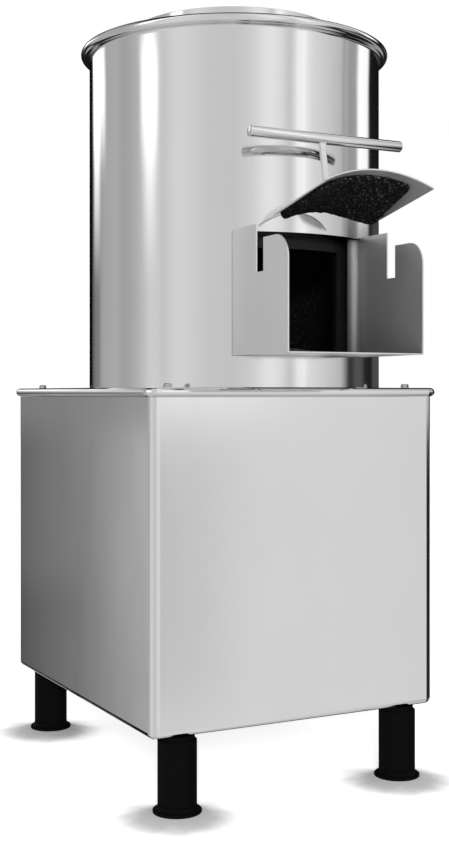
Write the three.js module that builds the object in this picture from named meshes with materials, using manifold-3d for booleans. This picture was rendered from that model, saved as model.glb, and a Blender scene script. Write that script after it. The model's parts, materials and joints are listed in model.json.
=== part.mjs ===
// Electric potato peeler: a jacketed peeling drum with an abrasive liner and turntable, on a cabinet that
// holds the motor, belt and bearings. Millimetres, +Z up, +X to the right of someone who faces the chute.
// While it is built, y is 0 at the cabinet's front face and z is 0 on the floor. At the end the whole
// group is shifted so that its origin is on the floor in the middle of the part's box at rest.
import * as THREE from 'three';
import { mergeVertices } from 'three/addons/utils/BufferGeometryUtils.js';
import Module from 'manifold-3d';

const wasm = await Module();
wasm.setup();

// Clearances and working values
const seat_gap = 0.3;
const running_gap = 0.5;
const overrun = 5;
const drum_gap = 0.5;
const fine_segments = 60;
const inner_segments = 48;
const round_segments = 24;
const leg_segments = 20;
const small_segments = 12;
const corner_steps = 4;
const bead_steps = 8;

// Cabinet
const leg_height = 104.5;
const cabinet_width = 450;
const cabinet_depth = 547;
const cabinet_height = 448.4;
const cabinet_corner_radius = 12.3;
const cabinet_bottom_radius = 8;
const cabinet_sheet = 2;
const cabinet_lip_width = 44;
const floor_vent_length = 120;
const floor_vent_width = 10;
const floor_vent_pitch = 30;
const floor_vent_count = 5;

// Deck plate and its bolts
const deck_height = 12.6;
const deck_overhang = 6.9;
const deck_sheet = 4;
const deck_rim_width = 16;
const bolt_inset_x = 34;
const bolt_inset_y = 24;
const bolt_radius = 3;
const bolt_head_across_flats = 10;
const bolt_head_height = 5.3;
const bolt_length = 22;
const bolt_chamfer_height = 1.3;
const bolt_chamfer_width = 0.8;
const bolt_clearance = 0.4;

// Legs
const leg_radius = 26.5;
const leg_inset_x = 48;
const leg_inset_y = 24;
const leg_neck_radius = 23.5;
const leg_neck_height = 7;
const leg_bore_radius = 22;
const leg_shoulder_height = 2;
const leg_shoulder_width = 1;
const foot_radius = 33;
const foot_edge_height = 4;
const foot_flare_height = 7;
const foot_spigot_height = 18;

// Outer drum
const drum_side_margin = 6.9;
const drum_front_overhang = 19.8;
const drum_sheet = 2;
const bead_radius = 6.6;
const drum_wall_height = 497.2;
const bead_bite = 0.5;

// Base disc, inner drum and liner
const base_sheet = 3;
const jacket_width = 37.1;
const inner_drum_sheet = 2;
const liner_thickness = 6;
const liner_rise = 34.3;
const liner_top_gap = 12;

// Top cover and feed collar
const cover_sheet = 2;
const cover_drop = 14;
const cover_rise = 2.1;
const collar_inset = 62.6;
const collar_sheet = 2;
const collar_height = 33.5;
const collar_flange_width = 14;

// Discharge opening, passage and chute
const opening_side_gap = 2;
const opening_height = 149.5;
const shell_opening_height = 166.5;
const chute_half_width = 103.6;
const chute_sheet = 2;
const chute_floor_sheet = 1.5;
const chute_floor_rise = 44.4;
const chute_reach = 124.1;
const cheek_back_rise = 2;
const cheek_front_height = 149.1;
const cheek_corner_radius = 31;
const slot_reach = 48.8;
const slot_side_gap = 0.3;
const slot_front_gap = 4.2;
const slot_height = 105.3;
const seal_thickness = 2.5;
const seal_lip_gap = 1;

// Door: a curved plate with an abrasive pad, on a stem below a round bar
const bar_radius = 7.5;
const bar_length = 235.7;
const bar_chamfer = 1;
const door_lift = 173.8;
const door_tilt_degrees = 101.5;
const door_sheet = 2;
const door_half_chord = 79.5;
const door_above_bar = 26.3;
const door_floor_gap = 0.4;
const pad_thickness = 8;
const pad_side_margin = 8;
const pad_outer_margin = 17;
const pad_inner_margin = 2;
const pad_corner_radius = 12;
const stem_width = 8;
const stem_thickness = 5.5;
const stem_offset_x = -8.5;

// Turntable, shaft and bearings
const turntable_gap = 3;
const turntable_rise = 4.1;
const turntable_thickness = 12;
const turntable_wave_height = 13;
const turntable_wave_count = 3;
const turntable_hub_radius = 30;
const turntable_hub_depth = 22;
const paddle_count = 2;
const paddle_thickness = 10;
const paddle_depth = 24;
const paddle_inset = 8;
const shaft_radius = 14;
const shaft_end_length = 9;
const cap_nut_radius = 24;
const cap_nut_height = 22;
const cap_nut_flange_height = 5;
const cap_nut_step = 2.5;
const housing_flange_radius = 78;
const housing_flange_thickness = 10;
const housing_radius = 42;
const housing_length = 130;
const bearing_radius = 31;
const bearing_width = 18;
const bearing_lip = 3;
const bearing_shoulder = 4;
const seal_ring_radius = 24;
const seal_ring_height = 9;

// Belt drive
const pulley_drop = 3.1;
const belt_depth = 8;
const belt_top_width = 13;
const belt_angle_degrees = 38;
const drum_pulley_share = 0.52165;
const motor_pulley_radius = 35;
const pulley_rim_width = 22;
const pulley_groove_extra = 2;
const pulley_hub_radius = 26;
const pulley_hub_height = 27;
const pulley_web_thickness = 8;
const pulley_rim_thickness = 8;
const pulley_hole_share = 0.32;
const pulley_hole_count = 5;

// Motor
const motor_back_distance = 122;
const motor_radius = 68;
const motor_fin_height = 9;
const motor_fin_count = 24;
const motor_fin_share = 0.4;
const motor_shaft_reach = 41.6;
const motor_bell_edge_share = 0.33;
const motor_bell_boss_share = 0.25;
const motor_bell_height = 34;
const motor_cowl_height = 42;
const motor_cowl_sheet = 2;
const motor_shaft_radius = 12;
const motor_boss_radius = 26;
const motor_stand_width = 210;
const motor_stand_depth = 170;
const motor_stand_height = 26;
const motor_stand_sheet = 5;
const motor_foot_width = 46;
const terminal_box_width = 60;
const terminal_box_depth = 26;
const terminal_box_height = 70;

// Service panel and its screws
const panel_side_margin = 60;
const panel_rise = 40.5;
const panel_drop = 183.3;
const panel_sheet = 1.5;
const panel_corner_radius = 10;
const panel_overlap = 14;
const louvre_length = 90;
const louvre_height = 10;
const louvre_pitch = 22;
const louvre_rows = 5;
const louvre_columns = 2;
const louvre_sheet = 1.5;
const louvre_mouth = 0.75;
const louvre_column_pitch = 130;
const screw_radius = 2.5;
const screw_head_radius = 5;
const screw_head_height = 3;
const screw_length = 10;
const screw_head_edge = 1;
const screw_head_taper = 1.5;
const screw_slot_width = 1.2;
const screw_slot_depth = 1.5;

// Switch box with its two push buttons and a cable gland
const switch_width = 84;
const switch_height = 120;
const switch_depth = 46;
const switch_corner_radius = 8;
const switch_wall = 3;
const switch_side_margin = 75;
const switch_top_clearance = 24;
const button_radius = 13;
const button_pitch = 46;
const button_height = 9;
const button_chamfer = 1;
const button_well_floor = 1;
const button_travel = 3;
const button_stalk_radius = 9;
const button_stalk_length = 14;
const button_collar_height = 5;
const button_collar_width = 4;
const gland_radius = 11;
const gland_bore_radius = 6;
const gland_length = 24;
const gland_thread_radius = 7.7;
const gland_nut_radius = 10;
const gland_nut_height = 8;

// Waste outlet and water inlet at the back of the drum
const outlet_radius = 20;
const outlet_sheet = 2;
const outlet_rise = 26.3;
const outlet_reach = 12;
const outlet_flange_radius = 25.5;
const pipe_flange_sheet = 3;
const inlet_radius = 10.5;
const inlet_sheet = 2.5;
const inlet_drop = 45;
const inlet_length = 42;
const inlet_flange_radius = 22;

// Derived heights and radii
const cabinet_top_z = leg_height + cabinet_height;
const deck_bottom_z = cabinet_top_z + seat_gap;
const deck_top_z = deck_bottom_z + deck_height;
const drum_bottom_z = deck_top_z + seat_gap;
const drum_radius = cabinet_width / 2 - drum_side_margin;
const drum_inner_radius = drum_radius - drum_sheet;
const drum_front_y = -drum_front_overhang;
const drum_axis_y = drum_front_y + drum_radius;
const collar_radius = drum_radius - collar_inset;
const bead_centre_z = drum_bottom_z + drum_wall_height;
const base_top_z = drum_bottom_z + base_sheet;
const cover_top_z = bead_centre_z + cover_rise;
const cover_bottom_z = cover_top_z - cover_sheet;
const collar_top_z = cover_top_z + collar_height;
const inner_drum_radius = drum_radius - jacket_width;
const inner_drum_bore = inner_drum_radius - inner_drum_sheet;
const liner_outer_radius = inner_drum_bore - drum_gap;
const liner_bore = liner_outer_radius - liner_thickness;
const liner_bottom_z = drum_bottom_z + liner_rise;
const turntable_radius = liner_bore - turntable_gap;
const chute_inner_half_width = chute_half_width - chute_sheet;
const chute_floor_z = drum_bottom_z + chute_floor_rise;
const chute_front_y = drum_front_y - chute_reach;
const cheek_bottom_z = chute_floor_z - chute_floor_sheet;
const turntable_top_z = chute_floor_z + turntable_rise;
const opening_half_width = door_half_chord + opening_side_gap;
const opening_top_z = chute_floor_z + opening_height;
const shell_opening_top_z = chute_floor_z + shell_opening_height;
const cheek_back_top_z = shell_opening_top_z + cheek_back_rise;
const cheek_front_top_z = chute_floor_z + cheek_front_height;
const slot_y = drum_front_y - slot_reach;
const slot_back_y = slot_y + bar_radius + slot_side_gap;
const slot_front_y = slot_y - bar_radius - slot_side_gap - slot_front_gap;
const slot_bottom_z = chute_floor_z + slot_height;
const bar_seated_z = slot_bottom_z + bar_radius + seat_gap;
const bar_rest_z = bar_seated_z + door_lift;
const door_radius = inner_drum_radius + seat_gap + door_sheet;
const door_below_bar = bar_seated_z - chute_floor_z - door_floor_gap;
const door_axis_offset = drum_axis_y - slot_y;
const pad_half_chord = door_half_chord - pad_side_margin;
const motor_base_z = leg_height + cabinet_sheet + seat_gap;
const deck_well_z = deck_top_z - deck_sheet;
const housing_top_z = deck_well_z - seat_gap;
const housing_bottom_z = housing_top_z - housing_length;
const belt_plane_z = housing_bottom_z - pulley_drop - pulley_hub_height + pulley_rim_width / 2;
const shaft_bottom_z = belt_plane_z - pulley_rim_width / 2 - shaft_end_length;
const motor_axis_y = cabinet_depth - motor_back_distance;
const motor_span = motor_axis_y - drum_axis_y;
const motor_body_z = motor_base_z + motor_stand_height + seat_gap;
const motor_bell_z = belt_plane_z - pulley_rim_width / 2 - motor_shaft_reach - motor_bell_height;
const motor_body_length = motor_bell_z - seat_gap - motor_cowl_height - motor_body_z;
const drum_pulley_radius = (motor_span - motor_pulley_radius) * drum_pulley_share;
const outlet_centre_z = drum_bottom_z + outlet_rise;
const inlet_centre_z = cover_top_z - inlet_drop;
const panel_bottom_z = leg_height + panel_rise;
const panel_height = cabinet_height - panel_rise - panel_drop;
const panel_width = cabinet_width - 2 * panel_side_margin;
const switch_centre_x = cabinet_width / 2 - switch_side_margin;

const steel = { color: 0xc9cacb, roughness: 0.28, metalness: 1 };
const satin_steel = { color: 0xbfc1c2, roughness: 0.45, metalness: 1 };
const black_gloss = { color: 0x060607, roughness: 0.25, metalness: 0 };
const black_grit = { color: 0x0c0c0c, roughness: 0.95, metalness: 0 };
const cast_grey = { color: 0x55585b, roughness: 0.6, metalness: 0.6 };
const machined_steel = { color: 0x9a9c9e, roughness: 0.35, metalness: 1 };
const black_rubber = { color: 0x101010, roughness: 0.8, metalness: 0 };
const motor_paint = { color: 0x3d4b57, roughness: 0.5, metalness: 0.2 };
const grey_plastic = { color: 0x8b8e91, roughness: 0.5, metalness: 0 };
const green_plastic = { color: 0x178a3c, roughness: 0.4, metalness: 0 };
const red_plastic = { color: 0xb3201c, roughness: 0.4, metalness: 0 };

const machine = new THREE.Group();

// Turns a geometry into a closed mesh: shared corners, no collapsed faces, faces outwards.
function closed(geometry) {
  const bare = geometry.clone();
  for (const name of Object.keys(bare.attributes)) {
    if (name !== 'position') bare.deleteAttribute(name);
  }
  const merged = mergeVertices(bare, 1e-3);
  const corners = merged.index.array;
  const places = merged.attributes.position;
  const kept = [];
  let volume = 0;
  for (let i = 0; i < corners.length; i += 3) {
    const [a, b, c] = [corners[i], corners[i + 1], corners[i + 2]];
    if (a === b || b === c || c === a) continue;
    kept.push(a, b, c);
    const [p, q, r] = [a, b, c].map((k) => new THREE.Vector3().fromBufferAttribute(places, k));
    volume += p.dot(q.cross(r));
  }
  if (volume < 0) kept.reverse();
  merged.setIndex(kept);
  return merged;
}

// A manifold-3d solid from a three.js geometry.
function solid(geometry) {
  const mesh = closed(geometry);
  const vertProperties = new Float32Array(mesh.attributes.position.array);
  const triVerts = new Uint32Array(mesh.index.array);
  return new wasm.Manifold(new wasm.Mesh({ numProp: 3, vertProperties, triVerts }));
}

// A three.js geometry from a manifold-3d solid.
function geometryOf(body) {
  const mesh = body.getMesh();
  const places = new Float32Array(mesh.numVert * 3);
  for (let i = 0; i < mesh.numVert; i += 1) {
    const start = i * mesh.numProp;
    places.set(mesh.vertProperties.subarray(start, start + 3), i * 3);
  }
  const geometry = new THREE.BufferGeometry();
  geometry.setAttribute('position', new THREE.BufferAttribute(places, 3));
  geometry.setIndex(new THREE.BufferAttribute(new Uint32Array(mesh.triVerts), 1));
  return geometry;
}

// Adds one named piece to a group. The shape is a geometry or a manifold-3d solid.
function addPiece(name, shape, finish, parent = machine) {
  const geometry = shape.isBufferGeometry ? closed(shape) : geometryOf(shape);
  const flat = geometry.toNonIndexed();
  flat.computeVertexNormals();
  const mesh = new THREE.Mesh(flat, new THREE.MeshStandardMaterial(finish));
  mesh.name = name;
  parent.add(mesh);
  return mesh;
}

// A solid of revolution about +Z from [radius, z] pairs.
function turned(profile, segments = round_segments) {
  const points = profile.map(([radius, z]) => new THREE.Vector2(radius, z));
  return new THREE.LatheGeometry(points, segments).rotateX(Math.PI / 2);
}

// A ring with a rectangular section between two radii and two heights.
function ring(outer, inner, low, high, segments = round_segments) {
  return turned([[inner, low], [outer, low], [outer, high], [inner, high], [inner, low]], segments);
}

// A full cylinder about +Z between two heights.
function rod(radius, low, high, segments = small_segments) {
  return turned([[0, low], [radius, low], [radius, high], [0, high]], segments);
}

// A box from its lowest and highest corners.
function block(low, high) {
  const size = high.map((value, k) => value - low[k]);
  const centre = high.map((value, k) => (value + low[k]) / 2);
  return new THREE.BoxGeometry(...size).translate(...centre);
}

// An outline pushed up along +Z from one height to another.
function raised(shape, low, high, curveSegments = corner_steps) {
  const settings = { depth: high - low, bevelEnabled: false, curveSegments };
  return new THREE.ExtrudeGeometry(shape, settings).translate(0, 0, low);
}

// A rectangle with round corners, centred on zero.
function roundedRectangle(width, height, radius) {
  const [x, y] = [width / 2, height / 2];
  const shape = new THREE.Shape();
  shape.moveTo(x - radius, -y);
  shape.absarc(x - radius, -y + radius, radius, -Math.PI / 2, 0);
  shape.absarc(x - radius, y - radius, radius, 0, Math.PI / 2);
  shape.absarc(-x + radius, y - radius, radius, Math.PI / 2, Math.PI);
  shape.absarc(-x + radius, -y + radius, radius, Math.PI, Math.PI * 1.5);
  shape.closePath();
  return shape;
}

// The points of a rectangle with round corners, inset on every side, at one height.
function cabinetRing(inset, z) {
  const radius = Math.max(cabinet_corner_radius - inset, seat_gap);
  const [x, y] = [cabinet_width / 2 - inset - radius, cabinet_depth / 2 - inset - radius];
  const points = [];
  for (const [side_x, side_y, start] of [[1, -1, -1], [1, 1, 0], [-1, 1, 1], [-1, -1, 2]]) {
    for (let step = 0; step <= corner_steps; step += 1) {
      const angle = ((start + step / corner_steps) * Math.PI) / 2;
      const [dx, dy] = [radius * Math.cos(angle), radius * Math.sin(angle)];
      points.push(new THREE.Vector3(side_x * x + dx, side_y * y + dy + cabinet_depth / 2, z));
    }
  }
  return points;
}

// A closed skin through rings that hold the same number of points, with flat ends.
function loft(rings) {
  const count = rings[0].length;
  const places = rings.flat().flatMap((point) => point.toArray());
  const faces = [];
  for (let level = 0; level < rings.length - 1; level += 1) {
    for (let k = 0; k < count; k += 1) {
      const [a, b] = [level * count + k, level * count + ((k + 1) % count)];
      faces.push(a, b, b + count, a, b + count, a + count);
    }
  }
  const last = (rings.length - 1) * count;
  for (let k = 1; k < count - 1; k += 1) {
    faces.push(0, k + 1, k);
    faces.push(last, last + k, last + k + 1);
  }
  const geometry = new THREE.BufferGeometry();
  geometry.setAttribute('position', new THREE.Float32BufferAttribute(places, 3));
  geometry.setIndex(faces);
  return geometry;
}

// A loop of equal sections joined end to end, such as a belt.
function closedSweep(sections) {
  const count = sections[0].length;
  const places = sections.flat().flatMap((point) => point.toArray());
  const faces = [];
  sections.forEach((section, level) => {
    const next = ((level + 1) % sections.length) * count;
    for (let k = 0; k < count; k += 1) {
      const [a, b] = [level * count + k, level * count + ((k + 1) % count)];
      const [c, d] = [next + ((k + 1) % count), next + k];
      faces.push(a, b, c, a, c, d);
    }
  });
  const geometry = new THREE.BufferGeometry();
  geometry.setAttribute('position', new THREE.Float32BufferAttribute(places, 3));
  geometry.setIndex(faces);
  return geometry;
}

// The cabinet: a folded box with a round-edged floor and an inward lip at the top.
function cabinetBody() {
  const rings = [];
  for (let step = 0; step <= corner_steps; step += 1) {
    const angle = ((step / corner_steps) * Math.PI) / 2;
    const inset = cabinet_bottom_radius * (1 - Math.sin(angle));
    rings.push(cabinetRing(inset, leg_height + cabinet_bottom_radius * (1 - Math.cos(angle))));
  }
  rings.push(cabinetRing(0, cabinet_top_z));
  const inner_rings = [];
  const inner_radius = cabinet_bottom_radius - cabinet_sheet;
  for (let step = 0; step <= corner_steps; step += 1) {
    const angle = ((step / corner_steps) * Math.PI) / 2;
    const inset = cabinet_sheet + inner_radius * (1 - Math.sin(angle));
    const z = leg_height + cabinet_sheet + inner_radius * (1 - Math.cos(angle));
    inner_rings.push(cabinetRing(inset, z));
  }
  inner_rings.push(cabinetRing(cabinet_sheet, cabinet_top_z - cabinet_sheet));
  const mouth = loft([
    cabinetRing(cabinet_lip_width, cabinet_top_z - cabinet_sheet - overrun),
    cabinetRing(cabinet_lip_width, cabinet_top_z + overrun),
  ]);
  let body = solid(loft(rings)).subtract(solid(loft(inner_rings))).subtract(solid(mouth));
  for (const [x, y] of boltPlaces()) {
    const low = cabinet_top_z - cabinet_sheet - overrun;
    const hole = rod(bolt_radius + bolt_clearance, low, cabinet_top_z + overrun, small_segments);
    body = body.subtract(solid(hole.translate(x, y, 0)));
  }
  for (const [x, z] of screwPlaces()) {
    body = body.subtract(screwHole(x, z));
  }
  return body.subtract(solid(panelHole())).subtract(floorVents());
}

// The opening behind the service panel.
function panelHole() {
  const [half, low] = [panel_width / 2 - panel_overlap, panel_bottom_z + panel_overlap];
  const high = panel_bottom_z + panel_height - panel_overlap;
  return block(
    [-half, cabinet_depth - cabinet_sheet - overrun, low],
    [half, cabinet_depth + overrun, high],
  );
}

// Slots in the cabinet's floor that let the motor's air out.
function floorVents() {
  const vents = [];
  for (let k = 0; k < floor_vent_count; k += 1) {
    const y = drum_axis_y + (k - (floor_vent_count - 1) / 2) * floor_vent_pitch;
    const slot = roundedRectangle(floor_vent_length, floor_vent_width, floor_vent_width / 2 - seat_gap);
    const low = leg_height - overrun;
    const high = leg_height + cabinet_sheet + overrun;
    vents.push(solid(raised(slot, low, high, corner_steps / 2).translate(0, y, 0)));
  }
  return vents.reduce((all, one) => all.add(one));
}

// The four places of the deck bolts.
function boltPlaces() {
  const places = [];
  for (const y of [bolt_inset_y, cabinet_depth - bolt_inset_y]) {
    for (const side of [-1, 1]) places.push([side * (cabinet_width / 2 - bolt_inset_x), y]);
  }
  return places;
}

// The deck: a plate with a half-round rolled rim that hangs over the cabinet.
function deckPlate() {
  const rings = [cabinetRing(deck_rim_width, deck_well_z)];
  rings.push(cabinetRing(deck_rim_width, deck_bottom_z));
  const rim_radius = deck_height / 2;
  for (let step = 0; step <= 2 * corner_steps; step += 1) {
    const angle = (step / (2 * corner_steps)) * Math.PI;
    const inset = -deck_overhang + rim_radius * (1 - Math.sin(angle));
    rings.push(cabinetRing(inset, deck_bottom_z + rim_radius * (1 - Math.cos(angle))));
  }
  let plate = solid(loft(rings));
  const hub_hole = rod(seal_ring_radius + overrun, deck_bottom_z, deck_top_z + overrun, round_segments);
  plate = plate.subtract(solid(hub_hole.translate(0, drum_axis_y, 0)));
  for (const [x, y] of boltPlaces()) {
    const hole = rod(bolt_radius + bolt_clearance, deck_bottom_z - overrun, deck_top_z + overrun);
    plate = plate.subtract(solid(hole.translate(x, y, 0)));
  }
  return plate;
}

// A hexagon bolt that points down, with its head's underside at z 0.
function hexBolt() {
  const corner_radius = bolt_head_across_flats / 2 / Math.cos(Math.PI / 6);
  const head = rod(corner_radius, 0, bolt_head_height, 6);
  const dome = turned([
    [0, 0],
    [corner_radius, 0],
    [corner_radius, bolt_head_height - bolt_chamfer_height],
    [bolt_head_across_flats / 2 - bolt_chamfer_width, bolt_head_height],
    [0, bolt_head_height],
  ], small_segments);
  const shank = rod(bolt_radius, -bolt_length, bolt_head_height / 2);
  return solid(head).intersect(solid(dome)).add(solid(shank));
}

// A leg: a tube with a narrower plug that goes up under the cabinet.
function legTube() {
  const low = foot_edge_height + foot_flare_height + seat_gap;
  const shoulder_z = leg_height - leg_neck_height;
  return turned([
    [leg_bore_radius, low],
    [leg_radius, low],
    [leg_radius, shoulder_z - leg_shoulder_height],
    [leg_radius - leg_shoulder_width, shoulder_z],
    [leg_neck_radius, shoulder_z],
    [leg_neck_radius, leg_height - seat_gap],
    [leg_bore_radius, leg_height - seat_gap],
    [leg_bore_radius, low],
  ], leg_segments);
}

// A foot: a flared disc with a spigot that goes up into the leg.
function foot() {
  const flare_z = foot_edge_height + foot_flare_height;
  const profile = [[0, 0], [foot_radius, 0], [foot_radius, foot_edge_height]];
  for (let step = 1; step <= corner_steps; step += 1) {
    const angle = ((step / corner_steps) * Math.PI) / 2;
    const radius = leg_radius + (foot_radius - leg_radius) * (1 - Math.sin(angle));
    profile.push([radius, foot_edge_height + foot_flare_height * (1 - Math.cos(angle))]);
  }
  const spigot = leg_bore_radius - seat_gap;
  profile.push([spigot, flare_z], [spigot, flare_z + foot_spigot_height], [0, flare_z + foot_spigot_height]);
  return turned(profile, leg_segments);
}

// A straight cut along y, as wide as twice the half width, from the drum's axis out past its front.
function frontCut(half_width, low, high) {
  return solid(block(
    [-half_width, drum_axis_y - drum_radius - overrun, low],
    [half_width, drum_axis_y - inner_drum_radius / 2, high],
  ));
}

// A cut along +y through the drum's back wall for a pipe.
function backBore(radius, z, from_y) {
  const to_y = drum_axis_y + drum_radius + bead_radius + overrun;
  return solid(rod(radius, from_y, to_y).rotateX(-Math.PI / 2).translate(0, 0, z));
}

// The outer drum: a rolled sheet with a full round bead, open where the chute goes through.
function outerDrum() {
  const tube = ring(drum_radius, drum_inner_radius, drum_bottom_z, bead_centre_z, fine_segments);
  const bead_axis = drum_radius + bead_radius - bead_bite;
  const profile = [];
  for (let step = 0; step <= bead_steps; step += 1) {
    const angle = (step / bead_steps) * 2 * Math.PI;
    profile.push([
      bead_axis + bead_radius * Math.cos(angle),
      bead_centre_z + bead_radius * Math.sin(angle),
    ]);
  }
  const bead = turned(profile, fine_segments);
  const walls = solid(tube).add(solid(bead)).translate(0, drum_axis_y, 0);
  return walls
    .subtract(frontCut(chute_half_width + seat_gap, cheek_bottom_z - seat_gap, shell_opening_top_z))
    .subtract(backBore(outlet_radius + seat_gap, outlet_centre_z, drum_axis_y))
    .subtract(backBore(inlet_radius + seat_gap, inlet_centre_z, drum_axis_y));
}

// The disc that closes the bottom of both drums.
function drumBase() {
  const disc = ring(
    drum_inner_radius - drum_gap,
    seal_ring_radius + drum_gap,
    drum_bottom_z,
    base_top_z,
    inner_segments,
  );
  return disc.translate(0, drum_axis_y, 0);
}

// The inner drum, which the potatoes tumble in, with its discharge opening.
function innerDrum() {
  const tube = ring(
    inner_drum_radius,
    inner_drum_bore,
    base_top_z + seat_gap,
    cover_bottom_z - seat_gap,
    inner_segments,
  );
  return solid(tube.translate(0, drum_axis_y, 0))
    .subtract(frontCut(opening_half_width, chute_floor_z - chute_floor_sheet - seat_gap, opening_top_z))
    .subtract(backBore(outlet_radius + seat_gap, outlet_centre_z, drum_axis_y))
    .subtract(backBore(inlet_radius + seat_gap, inlet_centre_z, drum_axis_y));
}

// The abrasive liner inside the inner drum.
function liner() {
  const top = cover_bottom_z - liner_top_gap;
  const tube = ring(liner_outer_radius, liner_bore, liner_bottom_z, top, inner_segments);
  return solid(tube.translate(0, drum_axis_y, 0))
    .subtract(frontCut(opening_half_width, chute_floor_z - chute_floor_sheet, opening_top_z))
    .subtract(backBore(inlet_radius + seat_gap, inlet_centre_z, drum_axis_y));
}

// The rubber frame round the discharge opening, on the inner drum's outer face.
function doorSeal() {
  const inner = inner_drum_radius + seat_gap;
  const tube = ring(
    inner + seal_thickness,
    inner,
    chute_floor_z + seat_gap,
    shell_opening_top_z - seat_gap,
    inner_segments,
  );
  const frame = solid(tube.translate(0, drum_axis_y, 0));
  const window = chute_inner_half_width - seat_gap;
  const face = frontCut(window, chute_floor_z, shell_opening_top_z);
  const half_width = door_half_chord + seal_lip_gap;
  const gap = frontCut(half_width, chute_floor_z - overrun, opening_top_z - seal_lip_gap);
  return frame.intersect(face).subtract(gap);
}

// The cover between the outer drum and the feed collar, with a skirt inside the outer drum.
function topCover() {
  const outer = drum_inner_radius - drum_gap;
  const profile = [
    [collar_radius - collar_sheet, cover_bottom_z],
    [outer - cover_sheet, cover_bottom_z],
    [outer - cover_sheet, cover_bottom_z - cover_drop],
    [outer, cover_bottom_z - cover_drop],
    [outer, cover_top_z],
    [collar_radius - collar_sheet, cover_top_z],
    [collar_radius - collar_sheet, cover_bottom_z],
  ];
  return turned(profile, fine_segments).translate(0, drum_axis_y, 0);
}

// The feed collar: a short tube with a flange on the cover.
function feedCollar() {
  const low = cover_top_z + seat_gap;
  const inner = collar_radius - collar_sheet;
  const profile = [
    [inner, low],
    [collar_radius + collar_flange_width, low],
    [collar_radius + collar_flange_width, low + collar_sheet],
    [collar_radius, low + collar_sheet],
    [collar_radius, collar_top_z],
    [inner, collar_top_z],
    [inner, low],
  ];
  return turned(profile, fine_segments).translate(0, drum_axis_y, 0);
}

// The depth along y at which a straight wall at x meets a circle about the drum's axis.
function yOnCircle(radius, x) {
  return drum_axis_y - Math.sqrt(radius * radius - x * x);
}

// One side of the chute: a sheet with a slot for the bar, which runs in to the inner drum.
function cheek(side) {
  const back_y = yOnCircle(inner_drum_radius + seat_gap, chute_half_width) - chute_sheet;
  const shell_y = yOnCircle(drum_radius, chute_inner_half_width);
  const outline = new THREE.Shape();
  outline.moveTo(chute_front_y, cheek_bottom_z);
  outline.lineTo(back_y, cheek_bottom_z);
  outline.lineTo(back_y, shell_opening_top_z - seat_gap);
  outline.lineTo(shell_y - seat_gap, shell_opening_top_z - seat_gap);
  outline.lineTo(shell_y - seat_gap, cheek_back_top_z);
  outline.lineTo(slot_back_y, cheek_back_top_z);
  outline.lineTo(slot_back_y, slot_bottom_z);
  outline.lineTo(slot_front_y, slot_bottom_z);
  outline.lineTo(slot_front_y, cheek_front_top_z);
  outline.lineTo(chute_front_y + cheek_corner_radius, cheek_front_top_z);
  outline.absarc(
    chute_front_y + cheek_corner_radius,
    cheek_front_top_z - cheek_corner_radius,
    cheek_corner_radius,
    Math.PI / 2,
    Math.PI,
  );
  outline.closePath();
  const sheet = raised(outline, 0, chute_sheet, 2 * corner_steps);
  sheet.rotateX(Math.PI / 2).rotateZ(Math.PI / 2);
  return sheet.translate(side > 0 ? chute_inner_half_width : -chute_half_width, 0, 0);
}

// The chute's floor, between the cheeks, from its front edge in to the inner drum.
function chuteFloor() {
  const half = chute_inner_half_width - seat_gap;
  const slab = block([-half, chute_front_y, cheek_bottom_z], [half, drum_axis_y, chute_floor_z]);
  const core = rod(
    inner_drum_radius + seat_gap,
    cheek_bottom_z - overrun,
    chute_floor_z + overrun,
    fine_segments,
  );
  return solid(slab).subtract(solid(core.translate(0, drum_axis_y, 0)));
}

// The door's curved plate, standing closed, with z 0 at the bar's axis and y 0 at the bar's axis.
function doorPlate() {
  const tube = ring(door_radius, door_radius - door_sheet, -door_below_bar, door_above_bar, fine_segments);
  const face = block(
    [-door_half_chord, -door_axis_offset, -door_below_bar - overrun],
    [door_half_chord, door_axis_offset - door_radius / 2, door_above_bar + overrun],
  );
  return solid(tube.translate(0, door_axis_offset, 0)).intersect(solid(face));
}

// The abrasive pad on the plate's inner face, with round corners at its lower end.
function doorPad() {
  const outer = door_radius - door_sheet - seat_gap;
  const tube = ring(outer, outer - pad_thickness, -door_below_bar, door_above_bar, fine_segments);
  const low = -door_below_bar + pad_outer_margin;
  const high = door_above_bar - pad_inner_margin;
  const outline = roundedRectangle(2 * pad_half_chord, high - low, pad_corner_radius);
  const depth = door_axis_offset - door_radius / 2;
  const face = raised(outline, 0, depth, 2 * corner_steps);
  face.rotateX(Math.PI / 2).translate(0, depth, (high + low) / 2);
  return solid(tube.translate(0, door_axis_offset, 0)).intersect(solid(face));
}

// The strip between the bar and the plate.
function doorStem() {
  const half = stem_width / 2;
  const strip = block(
    [stem_offset_x - half, 0, -stem_thickness / 2],
    [stem_offset_x + half, door_axis_offset, stem_thickness / 2],
  );
  const bar_room = rod(bar_radius + seat_gap, -bar_length / 2, bar_length / 2).rotateY(Math.PI / 2);
  const plate_room = rod(door_radius + seat_gap, -overrun, overrun, fine_segments);
  return solid(strip)
    .subtract(solid(bar_room))
    .subtract(solid(plate_room.translate(0, door_axis_offset, 0)));
}

// The round bar that is the door's handle and rests in the cheeks' slots.
function doorBar() {
  const half = bar_length / 2;
  const profile = [
    [0, -half],
    [bar_radius - bar_chamfer, -half],
    [bar_radius, -half + bar_chamfer],
    [bar_radius, half - bar_chamfer],
    [bar_radius - bar_chamfer, half],
    [0, half],
  ];
  return turned(profile, small_segments).rotateY(Math.PI / 2);
}

// The height of the turntable's face: flat at the hub and the rim, with rounded ridges between.
function turntableHeight(radius, angle) {
  const ridge = Math.max(Math.cos(turntable_wave_count * angle), 0) ** 2;
  const share = Math.max(radius - turntable_hub_radius, 0) / (turntable_radius - turntable_hub_radius);
  return turntable_top_z + turntable_wave_height * ridge * Math.sin(Math.PI * share);
}

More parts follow.
